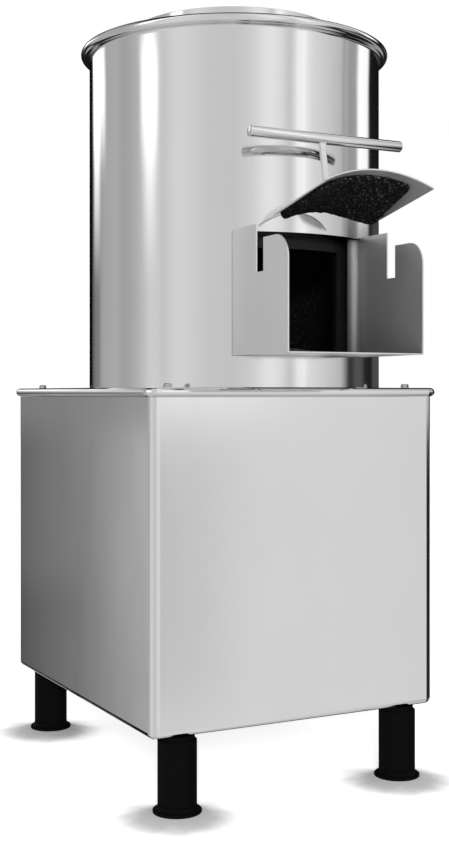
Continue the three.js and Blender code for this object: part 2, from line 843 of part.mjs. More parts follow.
// The turntable: an abrasive disc with ridges above, and a hub and sweeping paddles below.
function turntable() {
  const rings = [];
  const bottom = turntable_top_z - turntable_thickness;
  const circle = (radius, height) => {
    const points = [];
    for (let k = 0; k < inner_segments; k += 1) {
      const angle = (k / inner_segments) * 2 * Math.PI;
      const [x, y] = [radius * Math.cos(angle), radius * Math.sin(angle)];
      points.push(new THREE.Vector3(x, y, height(radius, angle)));
    }
    return points;
  };
  rings.push(circle(turntable_radius, () => bottom));
  const steps = corner_steps + 1;
  for (let step = steps; step >= 0; step -= 1) {
    const radius = turntable_hub_radius + ((turntable_radius - turntable_hub_radius) * step) / steps;
    rings.push(circle(radius, turntableHeight));
  }
  const hub_low = bottom - turntable_hub_depth;
  const hub = rod(turntable_hub_radius, hub_low, bottom + overrun, round_segments);
  let disc = solid(loft(rings)).add(solid(hub));
  for (let k = 0; k < paddle_count; k += 1) {
    const paddle = block(
      [turntable_hub_radius - overrun, -paddle_thickness / 2, bottom - paddle_depth],
      [turntable_radius - paddle_inset, paddle_thickness / 2, bottom + overrun / 2],
    );
    disc = disc.add(solid(paddle.rotateZ((k / paddle_count) * 2 * Math.PI)));
  }
  const bore = rod(shaft_radius + seat_gap, hub_low - overrun, turntable_top_z + overrun);
  return disc.subtract(solid(bore)).translate(0, drum_axis_y, 0);
}

// The shaft that carries the turntable and the large pulley.
function driveShaft() {
  const top = turntable_top_z + cap_nut_flange_height;
  return rod(shaft_radius, shaft_bottom_z, top, small_segments).translate(0, drum_axis_y, 0);
}

// The domed nut that holds the turntable on the shaft.
function capNut() {
  const low = turntable_top_z + seat_gap;
  const profile = [
    [shaft_radius + seat_gap, low],
    [cap_nut_radius, low],
    [cap_nut_radius, low + cap_nut_flange_height],
  ];
  const dome_radius = cap_nut_radius - cap_nut_step;
  for (let step = 0; step <= corner_steps; step += 1) {
    const angle = ((step / corner_steps) * Math.PI) / 2;
    const z = low + cap_nut_flange_height + (cap_nut_height - cap_nut_flange_height) * Math.sin(angle);
    profile.push([dome_radius * Math.cos(angle), z]);
  }
  const roof = turntable_top_z + cap_nut_flange_height + seat_gap;
  profile.push([0, roof], [shaft_radius + seat_gap, roof], [shaft_radius + seat_gap, low]);
  return turned(profile, small_segments).translate(0, drum_axis_y, 0);
}

// The bearing housing that hangs under the deck.
function bearingHousing() {
  const [low, top] = [housing_bottom_z, housing_top_z];
  const bore = bearing_radius + seat_gap;
  const waist = bearing_radius - bearing_shoulder;
  const seat_depth = bearing_lip + bearing_width;
  return turned([
    [bore, low],
    [housing_radius, low],
    [housing_radius, top - housing_flange_thickness],
    [housing_flange_radius, top - housing_flange_thickness],
    [housing_flange_radius, top],
    [bore, top],
    [bore, top - seat_depth],
    [waist, top - seat_depth],
    [waist, low + seat_depth],
    [bore, low + seat_depth],
    [bore, low],
  ]).translate(0, drum_axis_y, 0);
}

// A sealed ball bearing as one ring.
function bearing(centre_z) {
  const half = bearing_width / 2;
  return ring(bearing_radius, shaft_radius + seat_gap, -half, half).translate(0, drum_axis_y, centre_z);
}

// The rubber seal round the shaft where it comes up through the base.
function shaftSeal() {
  return ring(
    seal_ring_radius,
    shaft_radius + seat_gap,
    base_top_z - seal_ring_height,
    base_top_z,
  ).translate(0, drum_axis_y, 0);
}

// A V-belt pulley about z 0, with a web, a hub and lightening holes where it has room.
function pulley(radius, bore, web) {
  const half = pulley_rim_width / 2;
  const slope = Math.tan(THREE.MathUtils.degToRad(belt_angle_degrees / 2));
  const groove_depth = belt_depth + pulley_groove_extra;
  const mouth = belt_top_width / 2 + seat_gap;
  const foot_half = mouth - groove_depth * slope;
  const profile = [
    [bore, -half],
    [radius, -half],
    [radius, -mouth],
    [radius - groove_depth, -foot_half],
    [radius - groove_depth, foot_half],
    [radius, mouth],
    [radius, half],
    [bore, half],
    [bore, -half],
  ];
  let body = solid(turned(profile));
  if (!web) return body;
  const rim_inner = radius - groove_depth - pulley_rim_thickness;
  for (const side of [-1, 1]) {
    const [near, far] = [side * pulley_web_thickness / 2, side * (half + overrun)];
    const pocket = ring(rim_inner, pulley_hub_radius, Math.min(near, far), Math.max(near, far));
    body = body.subtract(solid(pocket));
  }
  const hub = ring(pulley_hub_radius, bore, -half, -half + pulley_hub_height);
  body = body.add(solid(hub));
  const hole_radius = (rim_inner - pulley_hub_radius) * pulley_hole_share;
  const hole_circle = (rim_inner + pulley_hub_radius) / 2;
  for (let k = 0; k < pulley_hole_count; k += 1) {
    const angle = (k / pulley_hole_count) * 2 * Math.PI;
    const hole = rod(hole_radius, -half, half);
    const [x, y] = [hole_circle * Math.cos(angle), hole_circle * Math.sin(angle)];
    body = body.subtract(solid(hole.translate(x, y, 0)));
  }
  return body;
}

// The V-belt: two arcs and two straights round the pulleys.
function vBelt() {
  const lean = Math.asin((drum_pulley_radius - motor_pulley_radius) / motor_span);
  const slope = Math.tan(THREE.MathUtils.degToRad(belt_angle_degrees / 2));
  const sections = [];
  const addArc = (centre_y, radius, start, end, steps) => {
    for (let step = 0; step <= steps; step += 1) {
      const angle = start + ((end - start) * step) / steps;
      const [nx, ny] = [Math.cos(angle), Math.sin(angle)];
      const outer = radius - seat_gap;
      const inner = outer - belt_depth;
      const half = belt_top_width / 2 - seat_gap;
      const inner_half = half - belt_depth * slope;
      const corners = [[outer, -half], [outer, half], [inner, inner_half], [inner, -inner_half]];
      sections.push(corners.map(([r, z]) => new THREE.Vector3(r * nx, centre_y + r * ny, belt_plane_z + z)));
    }
  };
  addArc(drum_axis_y, drum_pulley_radius, Math.PI - lean, 2 * Math.PI + lean, round_segments / 2);
  addArc(motor_axis_y, motor_pulley_radius, lean, Math.PI - lean, small_segments / 2);
  return closedSweep(sections);
}

// The motor's finned body.
function motorBody() {
  const outline = new THREE.Shape();
  const pitch = (2 * Math.PI) / motor_fin_count;
  for (let k = 0; k < motor_fin_count; k += 1) {
    const start = k * pitch;
    const end = start + pitch * motor_fin_share;
    for (const [radius, angle] of [
      [motor_radius, start],
      [motor_radius + motor_fin_height, start],
      [motor_radius + motor_fin_height, end],
      [motor_radius, end],
    ]) {
      const [x, y] = [radius * Math.cos(angle), radius * Math.sin(angle)];
      if (k === 0 && angle === start && radius === motor_radius) outline.moveTo(x, y);
      else outline.lineTo(x, y);
    }
  }
  outline.closePath();
  const low = motor_body_z + motor_cowl_height;
  const body = raised(outline, low, low + motor_body_length);
  const box_low = low + (motor_body_length - terminal_box_height) / 2;
  const side = block(
    [motor_radius, -terminal_box_width / 2 - seat_gap, box_low - seat_gap],
    [motor_radius + motor_fin_height + overrun, terminal_box_width / 2 + seat_gap,
      box_low + terminal_box_height + seat_gap],
  );
  return solid(body).subtract(solid(side)).translate(0, motor_axis_y, 0);
}

// The motor's upper end bell, with a boss round its shaft.
function motorEndBell() {
  const low = motor_bell_z;
  const top = low + motor_bell_height;
  const bore = motor_shaft_radius + running_gap;
  return turned([
    [bore, low],
    [motor_radius + motor_fin_height, low],
    [motor_radius + motor_fin_height, low + motor_bell_height * motor_bell_edge_share],
    [motor_radius - motor_fin_height, top - motor_bell_height * motor_bell_boss_share],
    [motor_boss_radius, top - motor_bell_height * motor_bell_boss_share],
    [motor_boss_radius, top],
    [bore, top],
    [bore, low],
  ]).translate(0, motor_axis_y, 0);
}

// The fan cowl under the motor's body, open at the bottom for air.
function motorFanCowl() {
  const low = motor_body_z;
  const top = low + motor_cowl_height - seat_gap;
  const outer = motor_radius + motor_fin_height;
  return turned([
    [outer - motor_cowl_sheet, low],
    [outer, low],
    [outer, top],
    [motor_boss_radius, top],
    [motor_boss_radius, top - motor_cowl_sheet],
    [outer - motor_cowl_sheet, top - motor_cowl_sheet],
    [outer - motor_cowl_sheet, low],
  ]).translate(0, motor_axis_y, 0);
}

// The motor's terminal box, against its side.
function terminalBox() {
  const low = motor_body_z + motor_cowl_height + (motor_body_length - terminal_box_height) / 2;
  const near = motor_radius + seat_gap;
  return block(
    [near, motor_axis_y - terminal_box_width / 2, low],
    [near + terminal_box_depth, motor_axis_y + terminal_box_width / 2, low + terminal_box_height],
  );
}

// The folded stand that carries the motor on the cabinet's floor.
function motorStand() {
  const [x, y] = [motor_stand_width / 2, motor_stand_depth / 2];
  const top = motor_base_z + motor_stand_height;
  const outer = block([-x, -y, motor_base_z], [x, y, top]);
  const inner_x = x - motor_foot_width;
  const tunnel = block(
    [-inner_x, -y - overrun, motor_base_z - overrun],
    [inner_x, y + overrun, top - motor_stand_sheet],
  );
  let body = solid(outer).subtract(solid(tunnel));
  for (const side of [-1, 1]) {
    const [near, far] = [side * (inner_x + motor_stand_sheet), side * (x + overrun)];
    const room = block(
      [Math.min(near, far), -y - overrun, motor_base_z + motor_stand_sheet],
      [Math.max(near, far), y + overrun, top + overrun],
    );
    body = body.subtract(solid(room));
  }
  const air_hole = rod(motor_boss_radius, motor_base_z, top + overrun, round_segments);
  return body.subtract(solid(air_hole)).translate(0, motor_axis_y, 0);
}

// The motor's own shaft.
function motorShaft() {
  const low = motor_bell_z + seat_gap;
  const high = belt_plane_z + pulley_rim_width / 2;
  return rod(motor_shaft_radius, low, high).translate(0, motor_axis_y, 0);
}

// The service panel behind the cabinet, with rows of raised louvres.
function servicePanel() {
  const outline = roundedRectangle(panel_width, panel_height, panel_corner_radius);
  const near = cabinet_depth + seat_gap;
  const centre_z = panel_bottom_z + panel_height / 2;
  const upright = (geometry) => solid(geometry.rotateX(-Math.PI / 2).translate(0, near, centre_z));
  let sheet = upright(raised(outline, 0, panel_sheet));
  for (const [x, z] of louvrePlaces()) {
    const hood = rod(louvre_height, -louvre_length / 2, louvre_length / 2).rotateY(Math.PI / 2);
    const hollow = rod(
      louvre_height - louvre_sheet,
      -louvre_length / 2 + louvre_sheet,
      louvre_length / 2 - louvre_sheet,
    ).rotateY(Math.PI / 2);
    const [low, high] = [-louvre_length / 2 - overrun, louvre_length / 2 + overrun];
    const quarter = block([low, 0, 0], [high, louvre_height + overrun, louvre_height + overrun]);
    const mouth = block(
      [-louvre_length / 2 + louvre_sheet, -overrun, -overrun],
      [louvre_length / 2 - louvre_sheet, louvre_height + overrun, louvre_mouth],
    );
    const place = (geometry) => solid(geometry.translate(x, near, z));
    const shell = place(hood).intersect(place(quarter));
    sheet = sheet.add(shell).subtract(place(hollow).intersect(place(block(
      [low, -overrun, 0],
      [high, louvre_height + overrun, louvre_height + overrun],
    ))));
    sheet = sheet.subtract(place(mouth).intersect(place(block(
      [low, -overrun, 0],
      [high, louvre_height + overrun, louvre_sheet],
    ))));
  }
  for (const [x, z] of screwPlaces()) {
    sheet = sheet.subtract(screwHole(x, z));
  }
  return sheet;
}

// A hole for one of the panel's screws, through the panel and the cabinet's back.
function screwHole(x, z) {
  const [low, high] = [cabinet_depth - cabinet_sheet - overrun, cabinet_depth + overrun];
  return solid(rod(screw_radius + seat_gap, low, high).rotateX(-Math.PI / 2).translate(x, 0, z));
}

// The middle of each louvre, on its lower edge.
function louvrePlaces() {
  const places = [];
  const centre_z = panel_bottom_z + panel_height / 2;
  for (let column = 0; column < louvre_columns; column += 1) {
    for (let row = 0; row < louvre_rows; row += 1) {
      const x = (column - (louvre_columns - 1) / 2) * louvre_column_pitch;
      places.push([x, centre_z + (row - (louvre_rows - 1) / 2) * louvre_pitch]);
    }
  }
  return places;
}

// The four places of the panel's screws.
function screwPlaces() {
  const places = [];
  const inset = panel_overlap / 2;
  for (const z of [panel_bottom_z + inset, panel_bottom_z + panel_height - inset]) {
    for (const side of [-1, 1]) places.push([side * (panel_width / 2 - inset), z]);
  }
  return places;
}

// A pan-head screw along y whose head stands on the panel's outer face.
function panelScrew() {
  const dome = turned([
    [0, 0],
    [screw_head_radius, 0],
    [screw_head_radius, screw_head_edge],
    [screw_head_radius - screw_head_taper, screw_head_height],
    [0, screw_head_height],
  ], small_segments);
  const shank = rod(screw_radius, -screw_length, screw_head_height / 2, small_segments / 2);
  const slot = block(
    [-screw_head_radius - overrun, -screw_slot_width / 2, screw_head_height - screw_slot_depth],
    [screw_head_radius + overrun, screw_slot_width / 2, screw_head_height + overrun],
  );
  const body = solid(dome).add(solid(shank)).subtract(solid(slot));
  return geometryOf(body).rotateX(-Math.PI / 2);
}

// The height of the switch box's middle.
function switchCentreZ() {
  return cabinet_top_z - switch_top_clearance - switch_height / 2;
}

// The switch box: a moulded housing on the cabinet's back, open inside, with two button holes.
function switchBox() {
  const near = cabinet_depth + seat_gap;
  const outline = roundedRectangle(switch_width, switch_height, switch_corner_radius);
  const hollow = roundedRectangle(
    switch_width - 2 * switch_wall,
    switch_height - 2 * switch_wall,
    switch_corner_radius - switch_wall,
  );
  let body = solid(raised(outline, 0, switch_depth));
  body = body.subtract(solid(raised(hollow, -overrun, switch_depth - switch_wall)));
  for (const side of [-1, 1]) {
    const y = (side * button_pitch) / 2;
    const rim = rod(button_radius + button_collar_width, switch_depth - button_well_floor,
      switch_depth + button_collar_height);
    body = body.add(solid(rim.translate(0, y, 0)));
    const well = rod(button_radius + running_gap, switch_depth - switch_wall + button_well_floor,
      switch_depth + button_collar_height + overrun);
    body = body.subtract(solid(well.translate(0, y, 0)));
    const hole = rod(button_stalk_radius + running_gap, switch_depth - switch_wall - overrun,
      switch_depth + overrun);
    body = body.subtract(solid(hole.translate(0, y, 0)));
  }
  const gland_hole = rod(gland_thread_radius + seat_gap, -switch_height / 2 - overrun, 0);
  gland_hole.rotateX(-Math.PI / 2).translate(0, 0, switch_depth / 2);
  body = body.subtract(solid(gland_hole));
  const upright = geometryOf(body).rotateX(-Math.PI / 2).scale(1, 1, -1);
  return closed(upright).translate(switch_centre_x, near, switchCentreZ());
}

// A push button: a cap in its well, on a stalk that goes into the box.
function pushButton(side, proud) {
  const face = switch_depth - switch_wall + button_well_floor + button_travel + seat_gap;
  const profile = [
    [0, switch_depth - switch_wall - button_stalk_length],
    [button_stalk_radius, switch_depth - switch_wall - button_stalk_length],
    [button_stalk_radius, face],
    [button_radius, face],
    [button_radius, face + button_height + proud - button_chamfer],
    [button_radius - button_chamfer, face + button_height + proud],
    [0, face + button_height + proud],
  ];
  const body = turned(profile, small_segments).rotateX(-Math.PI / 2);
  const z = switchCentreZ() + (side * button_pitch) / 2;
  return body.translate(switch_centre_x, cabinet_depth + seat_gap, z);
}

// The cable gland in the underside of the switch box.
function cableGland() {
  const bottom = switchCentreZ() - switch_height / 2;
  const profile = [
    [gland_bore_radius, bottom + switch_wall + overrun],
    [gland_bore_radius, bottom - gland_length],
    [gland_thread_radius, bottom - gland_length],
    [gland_nut_radius, bottom - gland_length + gland_nut_height],
    [gland_nut_radius, bottom - gland_nut_height],
    [gland_radius, bottom - gland_nut_height],
    [gland_radius, bottom - seat_gap],
    [gland_thread_radius, bottom - seat_gap],
    [gland_thread_radius, bottom + switch_wall + overrun],
    [gland_bore_radius, bottom + switch_wall + overrun],
  ];
  return turned(profile, small_segments).translate(
    switch_centre_x,
    cabinet_depth + seat_gap + switch_depth / 2,
    0,
  );
}

// A pipe through the back of both drums with a round flange outside.
function backPipe(radius, sheet, flange_radius, centre_z, end_y) {
  const start_y = drum_axis_y + inner_drum_bore + seat_gap;
  const flange_y = drum_axis_y + drum_radius + seat_gap;
  const inner = radius - sheet;
  const profile = [
    [inner, start_y],
    [radius, start_y],
    [radius, flange_y],
    [flange_radius, flange_y],
    [flange_radius, flange_y + pipe_flange_sheet],
    [radius, flange_y + pipe_flange_sheet],
    [radius, end_y],
    [inner, end_y],
    [inner, start_y],
  ];
  return turned(profile, small_segments).rotateX(-Math.PI / 2).translate(0, 0, centre_z);
}

addPiece('cabinet_body', cabinetBody(), satin_steel);
addPiece('deck_plate', deckPlate(), satin_steel);
boltPlaces().forEach(([x, y], k) => {
  const bolt = addPiece('deck_bolt_' + (k + 1), hexBolt(), machined_steel);
  bolt.position.set(x, y, deck_top_z + seat_gap);
});
const leg_x = cabinet_width / 2 - leg_inset_x;
const leg_names = [
  ['front_left', -leg_x, leg_inset_y],
  ['front_right', leg_x, leg_inset_y],
  ['rear_left', -leg_x, cabinet_depth - leg_inset_y],
  ['rear_right', leg_x, cabinet_depth - leg_inset_y],
];
for (const [name, x, y] of leg_names) {
  addPiece('leg_' + name, legTube(), black_gloss).position.set(x, y, 0);
  addPiece('foot_' + name, foot(), black_gloss).position.set(x, y, 0);
}
addPiece('outer_drum', outerDrum(), steel);
addPiece('drum_base', drumBase(), satin_steel);
addPiece('inner_drum', innerDrum(), satin_steel);
addPiece('abrasive_liner', liner(), black_grit);
addPiece('top_cover', topCover(), steel);
addPiece('feed_collar', feedCollar(), steel);
addPiece('door_seal', doorSeal(), black_rubber);
addPiece('chute_floor', chuteFloor(), steel);
addPiece('chute_cheek_left', cheek(-1), steel);
addPiece('chute_cheek_right', cheek(1), steel);

const door = new THREE.Group();
door.position.set(0, slot_y, bar_rest_z);
door.rotation.x = -THREE.MathUtils.degToRad(door_tilt_degrees);
machine.add(door);
addPiece('door_bar', doorBar(), steel, door);
addPiece('door_stem', doorStem(), steel, door);
addPiece('door_plate', doorPlate(), steel, door);
addPiece('door_pad', doorPad(), black_grit, door);

const upper_bearing_z = housing_top_z - bearing_lip - bearing_width / 2;
const lower_bearing_z = housing_bottom_z + bearing_lip + bearing_width / 2;
addPiece('turntable', turntable(), black_grit);
addPiece('turntable_cap_nut', capNut(), machined_steel);
addPiece('drive_shaft', driveShaft(), machined_steel);
addPiece('shaft_seal', shaftSeal(), black_rubber);
addPiece('bearing_housing', bearingHousing(), cast_grey);
addPiece('upper_bearing', bearing(upper_bearing_z), machined_steel);
addPiece('lower_bearing', bearing(lower_bearing_z), machined_steel);
const drum_pulley = pulley(drum_pulley_radius, shaft_radius + seat_gap, true);
addPiece('turntable_pulley', drum_pulley, cast_grey).position.set(0, drum_axis_y, belt_plane_z);
addPiece('v_belt', vBelt(), black_rubber);
const motor_pulley = pulley(motor_pulley_radius, motor_shaft_radius + seat_gap, false);
addPiece('motor_pulley', motor_pulley, cast_grey).position.set(0, motor_axis_y, belt_plane_z);
addPiece('motor_shaft', motorShaft(), machined_steel);
addPiece('motor_body', motorBody(), motor_paint);
addPiece('motor_end_bell', motorEndBell(), motor_paint);
addPiece('motor_fan_cowl', motorFanCowl(), motor_paint);
addPiece('motor_terminal_box', terminalBox(), motor_paint);
addPiece('motor_stand', motorStand(), cast_grey);

addPiece('service_panel', servicePanel(), satin_steel);
screwPlaces().forEach(([x, z], k) => {
  const screw = addPiece('panel_screw_' + (k + 1), panelScrew(), machined_steel);
  screw.position.set(x, cabinet_depth + panel_sheet + 2 * seat_gap, z);
});
addPiece('switch_box', switchBox(), grey_plastic);
addPiece('start_button', pushButton(1, 0), green_plastic);
addPiece('stop_button', pushButton(-1, button_travel), red_plastic);
addPiece('cable_gland', cableGland(), black_rubber);
const outlet_end = cabinet_depth + deck_overhang + outlet_reach;
const outlet = backPipe(outlet_radius, outlet_sheet, outlet_flange_radius, outlet_centre_z, outlet_end);
addPiece('waste_outlet', outlet, steel);
const inlet_end = drum_axis_y + drum_radius + inlet_length;
const inlet = backPipe(inlet_radius, inlet_sheet, inlet_flange_radius, inlet_centre_z, inlet_end);
addPiece('water_inlet', inlet, machined_steel);

// The origin goes to the floor, in the middle of the part's box at rest.
const group = new THREE.Group();
group.add(machine);
const reach = new THREE.Box3().setFromObject(machine, true);
machine.position.y = -(reach.min.y + reach.max.y) / 2;

export default group;
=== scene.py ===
# Looks of the electric potato peeler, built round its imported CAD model. Lengths are written in millimetres,
# with y 0 at the cabinet's front face, and place() turns them into metres in the model's frame.
import json
import math

import bmesh
import bpy
from mathutils import Euler, Matrix, Vector, noise


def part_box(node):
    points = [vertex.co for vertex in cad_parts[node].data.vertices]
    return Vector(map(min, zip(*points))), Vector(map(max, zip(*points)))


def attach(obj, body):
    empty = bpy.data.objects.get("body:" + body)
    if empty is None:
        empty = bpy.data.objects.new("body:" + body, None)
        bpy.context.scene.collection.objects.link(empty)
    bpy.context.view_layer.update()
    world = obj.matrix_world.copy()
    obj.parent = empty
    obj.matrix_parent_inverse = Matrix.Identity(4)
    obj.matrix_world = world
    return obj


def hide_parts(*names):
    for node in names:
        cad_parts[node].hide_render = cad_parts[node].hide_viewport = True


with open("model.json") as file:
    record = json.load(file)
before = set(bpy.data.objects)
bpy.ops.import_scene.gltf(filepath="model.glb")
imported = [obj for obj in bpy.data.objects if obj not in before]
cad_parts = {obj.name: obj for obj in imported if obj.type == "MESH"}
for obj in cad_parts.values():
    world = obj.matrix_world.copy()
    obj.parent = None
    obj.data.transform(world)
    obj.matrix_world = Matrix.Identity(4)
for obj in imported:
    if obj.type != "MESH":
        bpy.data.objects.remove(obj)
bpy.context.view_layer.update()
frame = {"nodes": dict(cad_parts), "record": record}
nodes = frame["nodes"]

MM = 0.001
FRONT_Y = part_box("cabinet_body")[0].y
SEAT_GAP = 0.3

# Camera, as measured from the photograph's vanishing points
CAMERA_PLACE = (-911.8, -1546.6, 558.0)
CAMERA_YAW = 27.906
CAMERA_LENS = 55.479
CAMERA_SHIFT = (-0.02014, -0.03295)

# Drum, cover and collar
DRUM_AXIS_Y = 198.3
DRUM_RADIUS = 218.1
DRUM_SHEET = 2.0
DRUM_BOTTOM = 566.1
BEAD_RADIUS = 6.6
BEAD_BITE = 0.5
BEAD_CURVE = 4.0
BEAD_Z = 1063.3
SHELL_WINDOW = (103.9, 608.7, 777.0)
INNER_RADIUS = 181.0
INNER_SHEET = 2.0
INNER_BOTTOM = 569.4
INNER_TOP = 1063.1
INNER_WINDOW = (81.5, 608.7, 760.0)
CHUTE_FLOOR = 610.5
CHEEK_INNER = 101.6
LINER_OUTER = 178.5
LINER_BORE = 172.5
LINER_BOTTOM = 600.4
LINER_TOP = 1051.4
COVER_TOP = 1065.4
COVER_SHEET = 2.0
COVER_DROP = 14.0
COVER_OUTER = 215.6
COLLAR_RADIUS = 155.5
COLLAR_SHEET = 2.0
COLLAR_FLANGE = 14.0
COLLAR_TOP = 1098.9

# The rolled lip on the cheeks' inner face: where it starts and ends in y, its radius, how far it
# turns in degrees, and the share of its length that is turned before it runs back to the cheek
LIP_SPAN = (4.0, 40.0)
LIP_RADIUS = 11.0
LIP_TURN = 120.0
LIP_TURN_SHARE = 0.8
LIP_CUTS = 20
LIP_SKIN = 0.5

# Door, at rest lifted out of its slots and tipped outwards
DOOR_BAR_Y = -68.6
DOOR_BAR_Z = 897.4
DOOR_TILT = 101.5
BAR_RADIUS = 7.5
BAR_HALF = 117.85
DOOR_RADIUS = 183.3
DOOR_SHEET = 2.0
DOOR_HALF = 79.5
DOOR_ABOVE = 26.3
DOOR_BELOW = 112.7
PAD_CORNERS = ((-75, -96), (58, -96), (74, 24.5), (-75, 24.5))
PAD_CORNER = 13.0
PAD_THIN = 6.5
PAD_BACK_EXTRA = 4.0
PAD_BACK_START = -70.0
PAD_BACK_LENGTH = 90.0
PAD_EDGE = 7.0
PAD_BULGE = (30, 28, 3.5)
STEM_X = -8.5
STEM_WIDTH = 8.0
STEM_THICKNESS = 5.5

# Legs and feet
LEG_RADIUS = 26.5
LEG_NECK_RADIUS = 23.5
LEG_NECK_HEIGHT = 7.0
LEG_TOP = 104.2
LEG_BOTTOM = 11.3
LEG_BORE_RADIUS = 22.0
LEG_EDGE = 0.5
LEG_SHOULDER_EDGE = 1.5
FOOT_RADIUS = 33.0
FOOT_EDGE = 4.0
FOOT_LOW_EDGE = 0.8
FOOT_FLARE = 7.0
SPIGOT_RADIUS = 21.7
SPIGOT_TOP = 29.0
LEG_PLACES = {
    "front_left": (-177, 24),
    "front_right": (177, 24),
    "rear_left": (-177, 523),
    "rear_right": (177, 523),
}

# Turntable
TABLE_TOP = 614.6
TABLE_THICKNESS = 12.0
TABLE_RADIUS = 169.5
TABLE_HUB = 30.0
TABLE_WAVE = 13.0
TABLE_RIDGES = 3
TABLE_HUB_DROP = 22.0
TABLE_EDGE = 1.0
PADDLE_HALF = 5.0
PADDLE_DROP = 24.0
SHAFT_RADIUS = 14.0
NUT_RADIUS = 24.0
NUT_CHAMFER = 0.5
NUT_EDGE = 5.3
DOME_RADIUS = 21.5
DOME_HEIGHT = 17.0


def place(x, y, z):
    """A point in millimetres from the cabinet's front, as metres in the model's frame."""
    return Vector((x * MM, y * MM + FRONT_Y, z * MM))


# Materials


class Nodes:
    """A short way to write shader nodes."""

    def __init__(self, tree):
        self.tree = tree

    def add(self, kind, **settings):
        node = self.tree.nodes.new(kind)
        for key, value in settings.items():
            setattr(node, key, value)
        return node

    def feed(self, socket, value):
        if isinstance(value, bpy.types.NodeSocket):
            self.tree.links.new(value, socket)
        else:
            socket.default_value = value

    def math(self, operation, a, b=0.0, clamp=False):
        node = self.add("ShaderNodeMath", operation=operation, use_clamp=clamp)
        self.feed(node.inputs[0], a)
        self.feed(node.inputs[1], b)
        return node.outputs[0]

    def step(self, value, low, high, to_low=0.0, to_high=1.0):
        node = self.add("ShaderNodeMapRange", interpolation_type="SMOOTHSTEP")
        for socket, entry in zip(node.inputs, (value, low, high, to_low, to_high)):
            self.feed(socket, entry)
        return node.outputs[0]

    def noise(self, at, scale, detail=3.0, roughness=0.5):
        node = self.add("ShaderNodeTexNoise")
        self.feed(node.inputs["Vector"], at)
        node.inputs["Scale"].default_value = scale
        node.inputs["Detail"].default_value = detail
        node.inputs["Roughness"].default_value = roughness
        return node.outputs["Fac"]

    def stretched(self, at, scale):
        node = self.add("ShaderNodeMapping")
        self.feed(node.inputs["Vector"], at)
        node.inputs["Scale"].default_value = scale
        return node.outputs["Vector"]

    def ramp(self, value, stops):
        node = self.add("ShaderNodeValToRGB")
        ramp = node.color_ramp
        while len(ramp.elements) < len(stops):
            ramp.elements.new(1.0)
        for element, (position, grey) in zip(ramp.elements, stops):
            element.position = position
            element.color = (*grey, 1) if isinstance(grey, tuple) else (grey, grey, grey, 1)
        self.feed(node.inputs["Fac"], value)
        return node.outputs["Color"]

    def bump(self, height, strength, distance, below=None):
        node = self.add("ShaderNodeBump")
        node.inputs["Strength"].default_value = strength
        node.inputs["Distance"].default_value = distance
        self.feed(node.inputs["Height"], height)
        if below is not None:
            self.feed(node.inputs["Normal"], below)
        return node.outputs["Normal"]


def new_material(name, colour, roughness, metallic=0.0, **values):
    """A material with a Principled shader; returns it with its node helper, shader and object coordinates."""
    material = bpy.data.materials.new(name)
    material.use_nodes = True
    tree = material.node_tree
    shader = tree.nodes["Principled BSDF"]
    shader.inputs["Base Color"].default_value = (*colour, 1)
    shader.inputs["Roughness"].default_value = roughness
    shader.inputs["Metallic"].default_value = metallic
    for key, value in values.items():
        shader.inputs[key.replace("_", " ")].default_value = value
    kit = Nodes(tree)
    coordinates = kit.add("ShaderNodeTexCoord").outputs["Object"]
    return material, kit, shader, coordinates


def steel(name, colour, roughness, grain, grain_depth, mottling=0.02, smear=0.03, metallic=1.0, painted_recess_shade=None):
    """Sheet steel: grain is how the brush lines are stretched, and its depth is in metres.

    The last argument is (reach, closed, open, share): painted shade, which darkens the colour in deep
    corners, where occlusion within that reach is strong, down to that share of it.
    """
    material, kit, shader, at = new_material(name, colour, roughness, metallic)
    lines = kit.noise(kit.stretched(at, grain), 1.0, 4.0, 0.6)
    cloud = kit.noise(at, 7.0, 3.0, 0.55)
    wipe = kit.noise(kit.stretched(at, (18, 18, 5)), 1.0, 2.0, 0.5)
    dark = tuple(c * (1 - mottling) for c in colour)
    light = tuple(min(1.0, c * (1 + mottling)) for c in colour)
    tone = kit.ramp(cloud, [(0.3, dark), (0.7, light)])
    # Painted shade: the colour is darkened where ambient occlusion finds the surface hemmed in
    if painted_recess_shade:
        reach, closed, open_, share = painted_recess_shade
        shade_occlusion = kit.add("ShaderNodeAmbientOcclusion", samples=16)
        shade_occlusion.inputs["Distance"].default_value = reach
        shade_darkened_tone = kit.add("ShaderNodeVectorMath", operation="SCALE")
        kit.feed(shade_darkened_tone.inputs[0], tone)
        kit.feed(shade_darkened_tone.inputs["Scale"], kit.step(shade_occlusion.outputs["AO"], closed, open_, share, 1.0))
        tone = shade_darkened_tone.outputs[0]
    kit.feed(shader.inputs["Base Color"], tone)
    rough = kit.step(wipe, 0.35, 0.7, roughness - smear, roughness + smear)
    rough = kit.math("ADD", rough, kit.step(lines, 0.3, 0.7, -smear / 3, smear / 3))
    kit.feed(shader.inputs["Roughness"], rough)
    kit.feed(shader.inputs["Normal"], kit.bump(lines, 1.0, grain_depth))
    return material


def plain(name, colour, roughness, bump_scale, bump_depth, variation=0.12, metallic=0.0, **values):
    """Paint, plastic, rubber or a casting: slight colour variation and a fine surface texture."""
    material, kit, shader, at = new_material(name, colour, roughness, metallic, **values)
    fine = kit.noise(at, bump_scale, 4.0, 0.6)
    cloud = kit.noise(at, 25.0, 3.0, 0.5)
    dark = tuple(c * (1 - variation) for c in colour)
    light = tuple(min(1.0, c * (1 + variation)) for c in colour)
    kit.feed(shader.inputs["Base Color"], kit.ramp(cloud, [(0.3, dark), (0.7, light)]))
    kit.feed(shader.inputs["Roughness"], kit.step(cloud, 0.3, 0.7, roughness * 0.9, min(1, roughness * 1.1)))
    kit.feed(shader.inputs["Normal"], kit.bump(fine, 1.0, bump_depth))
    return material


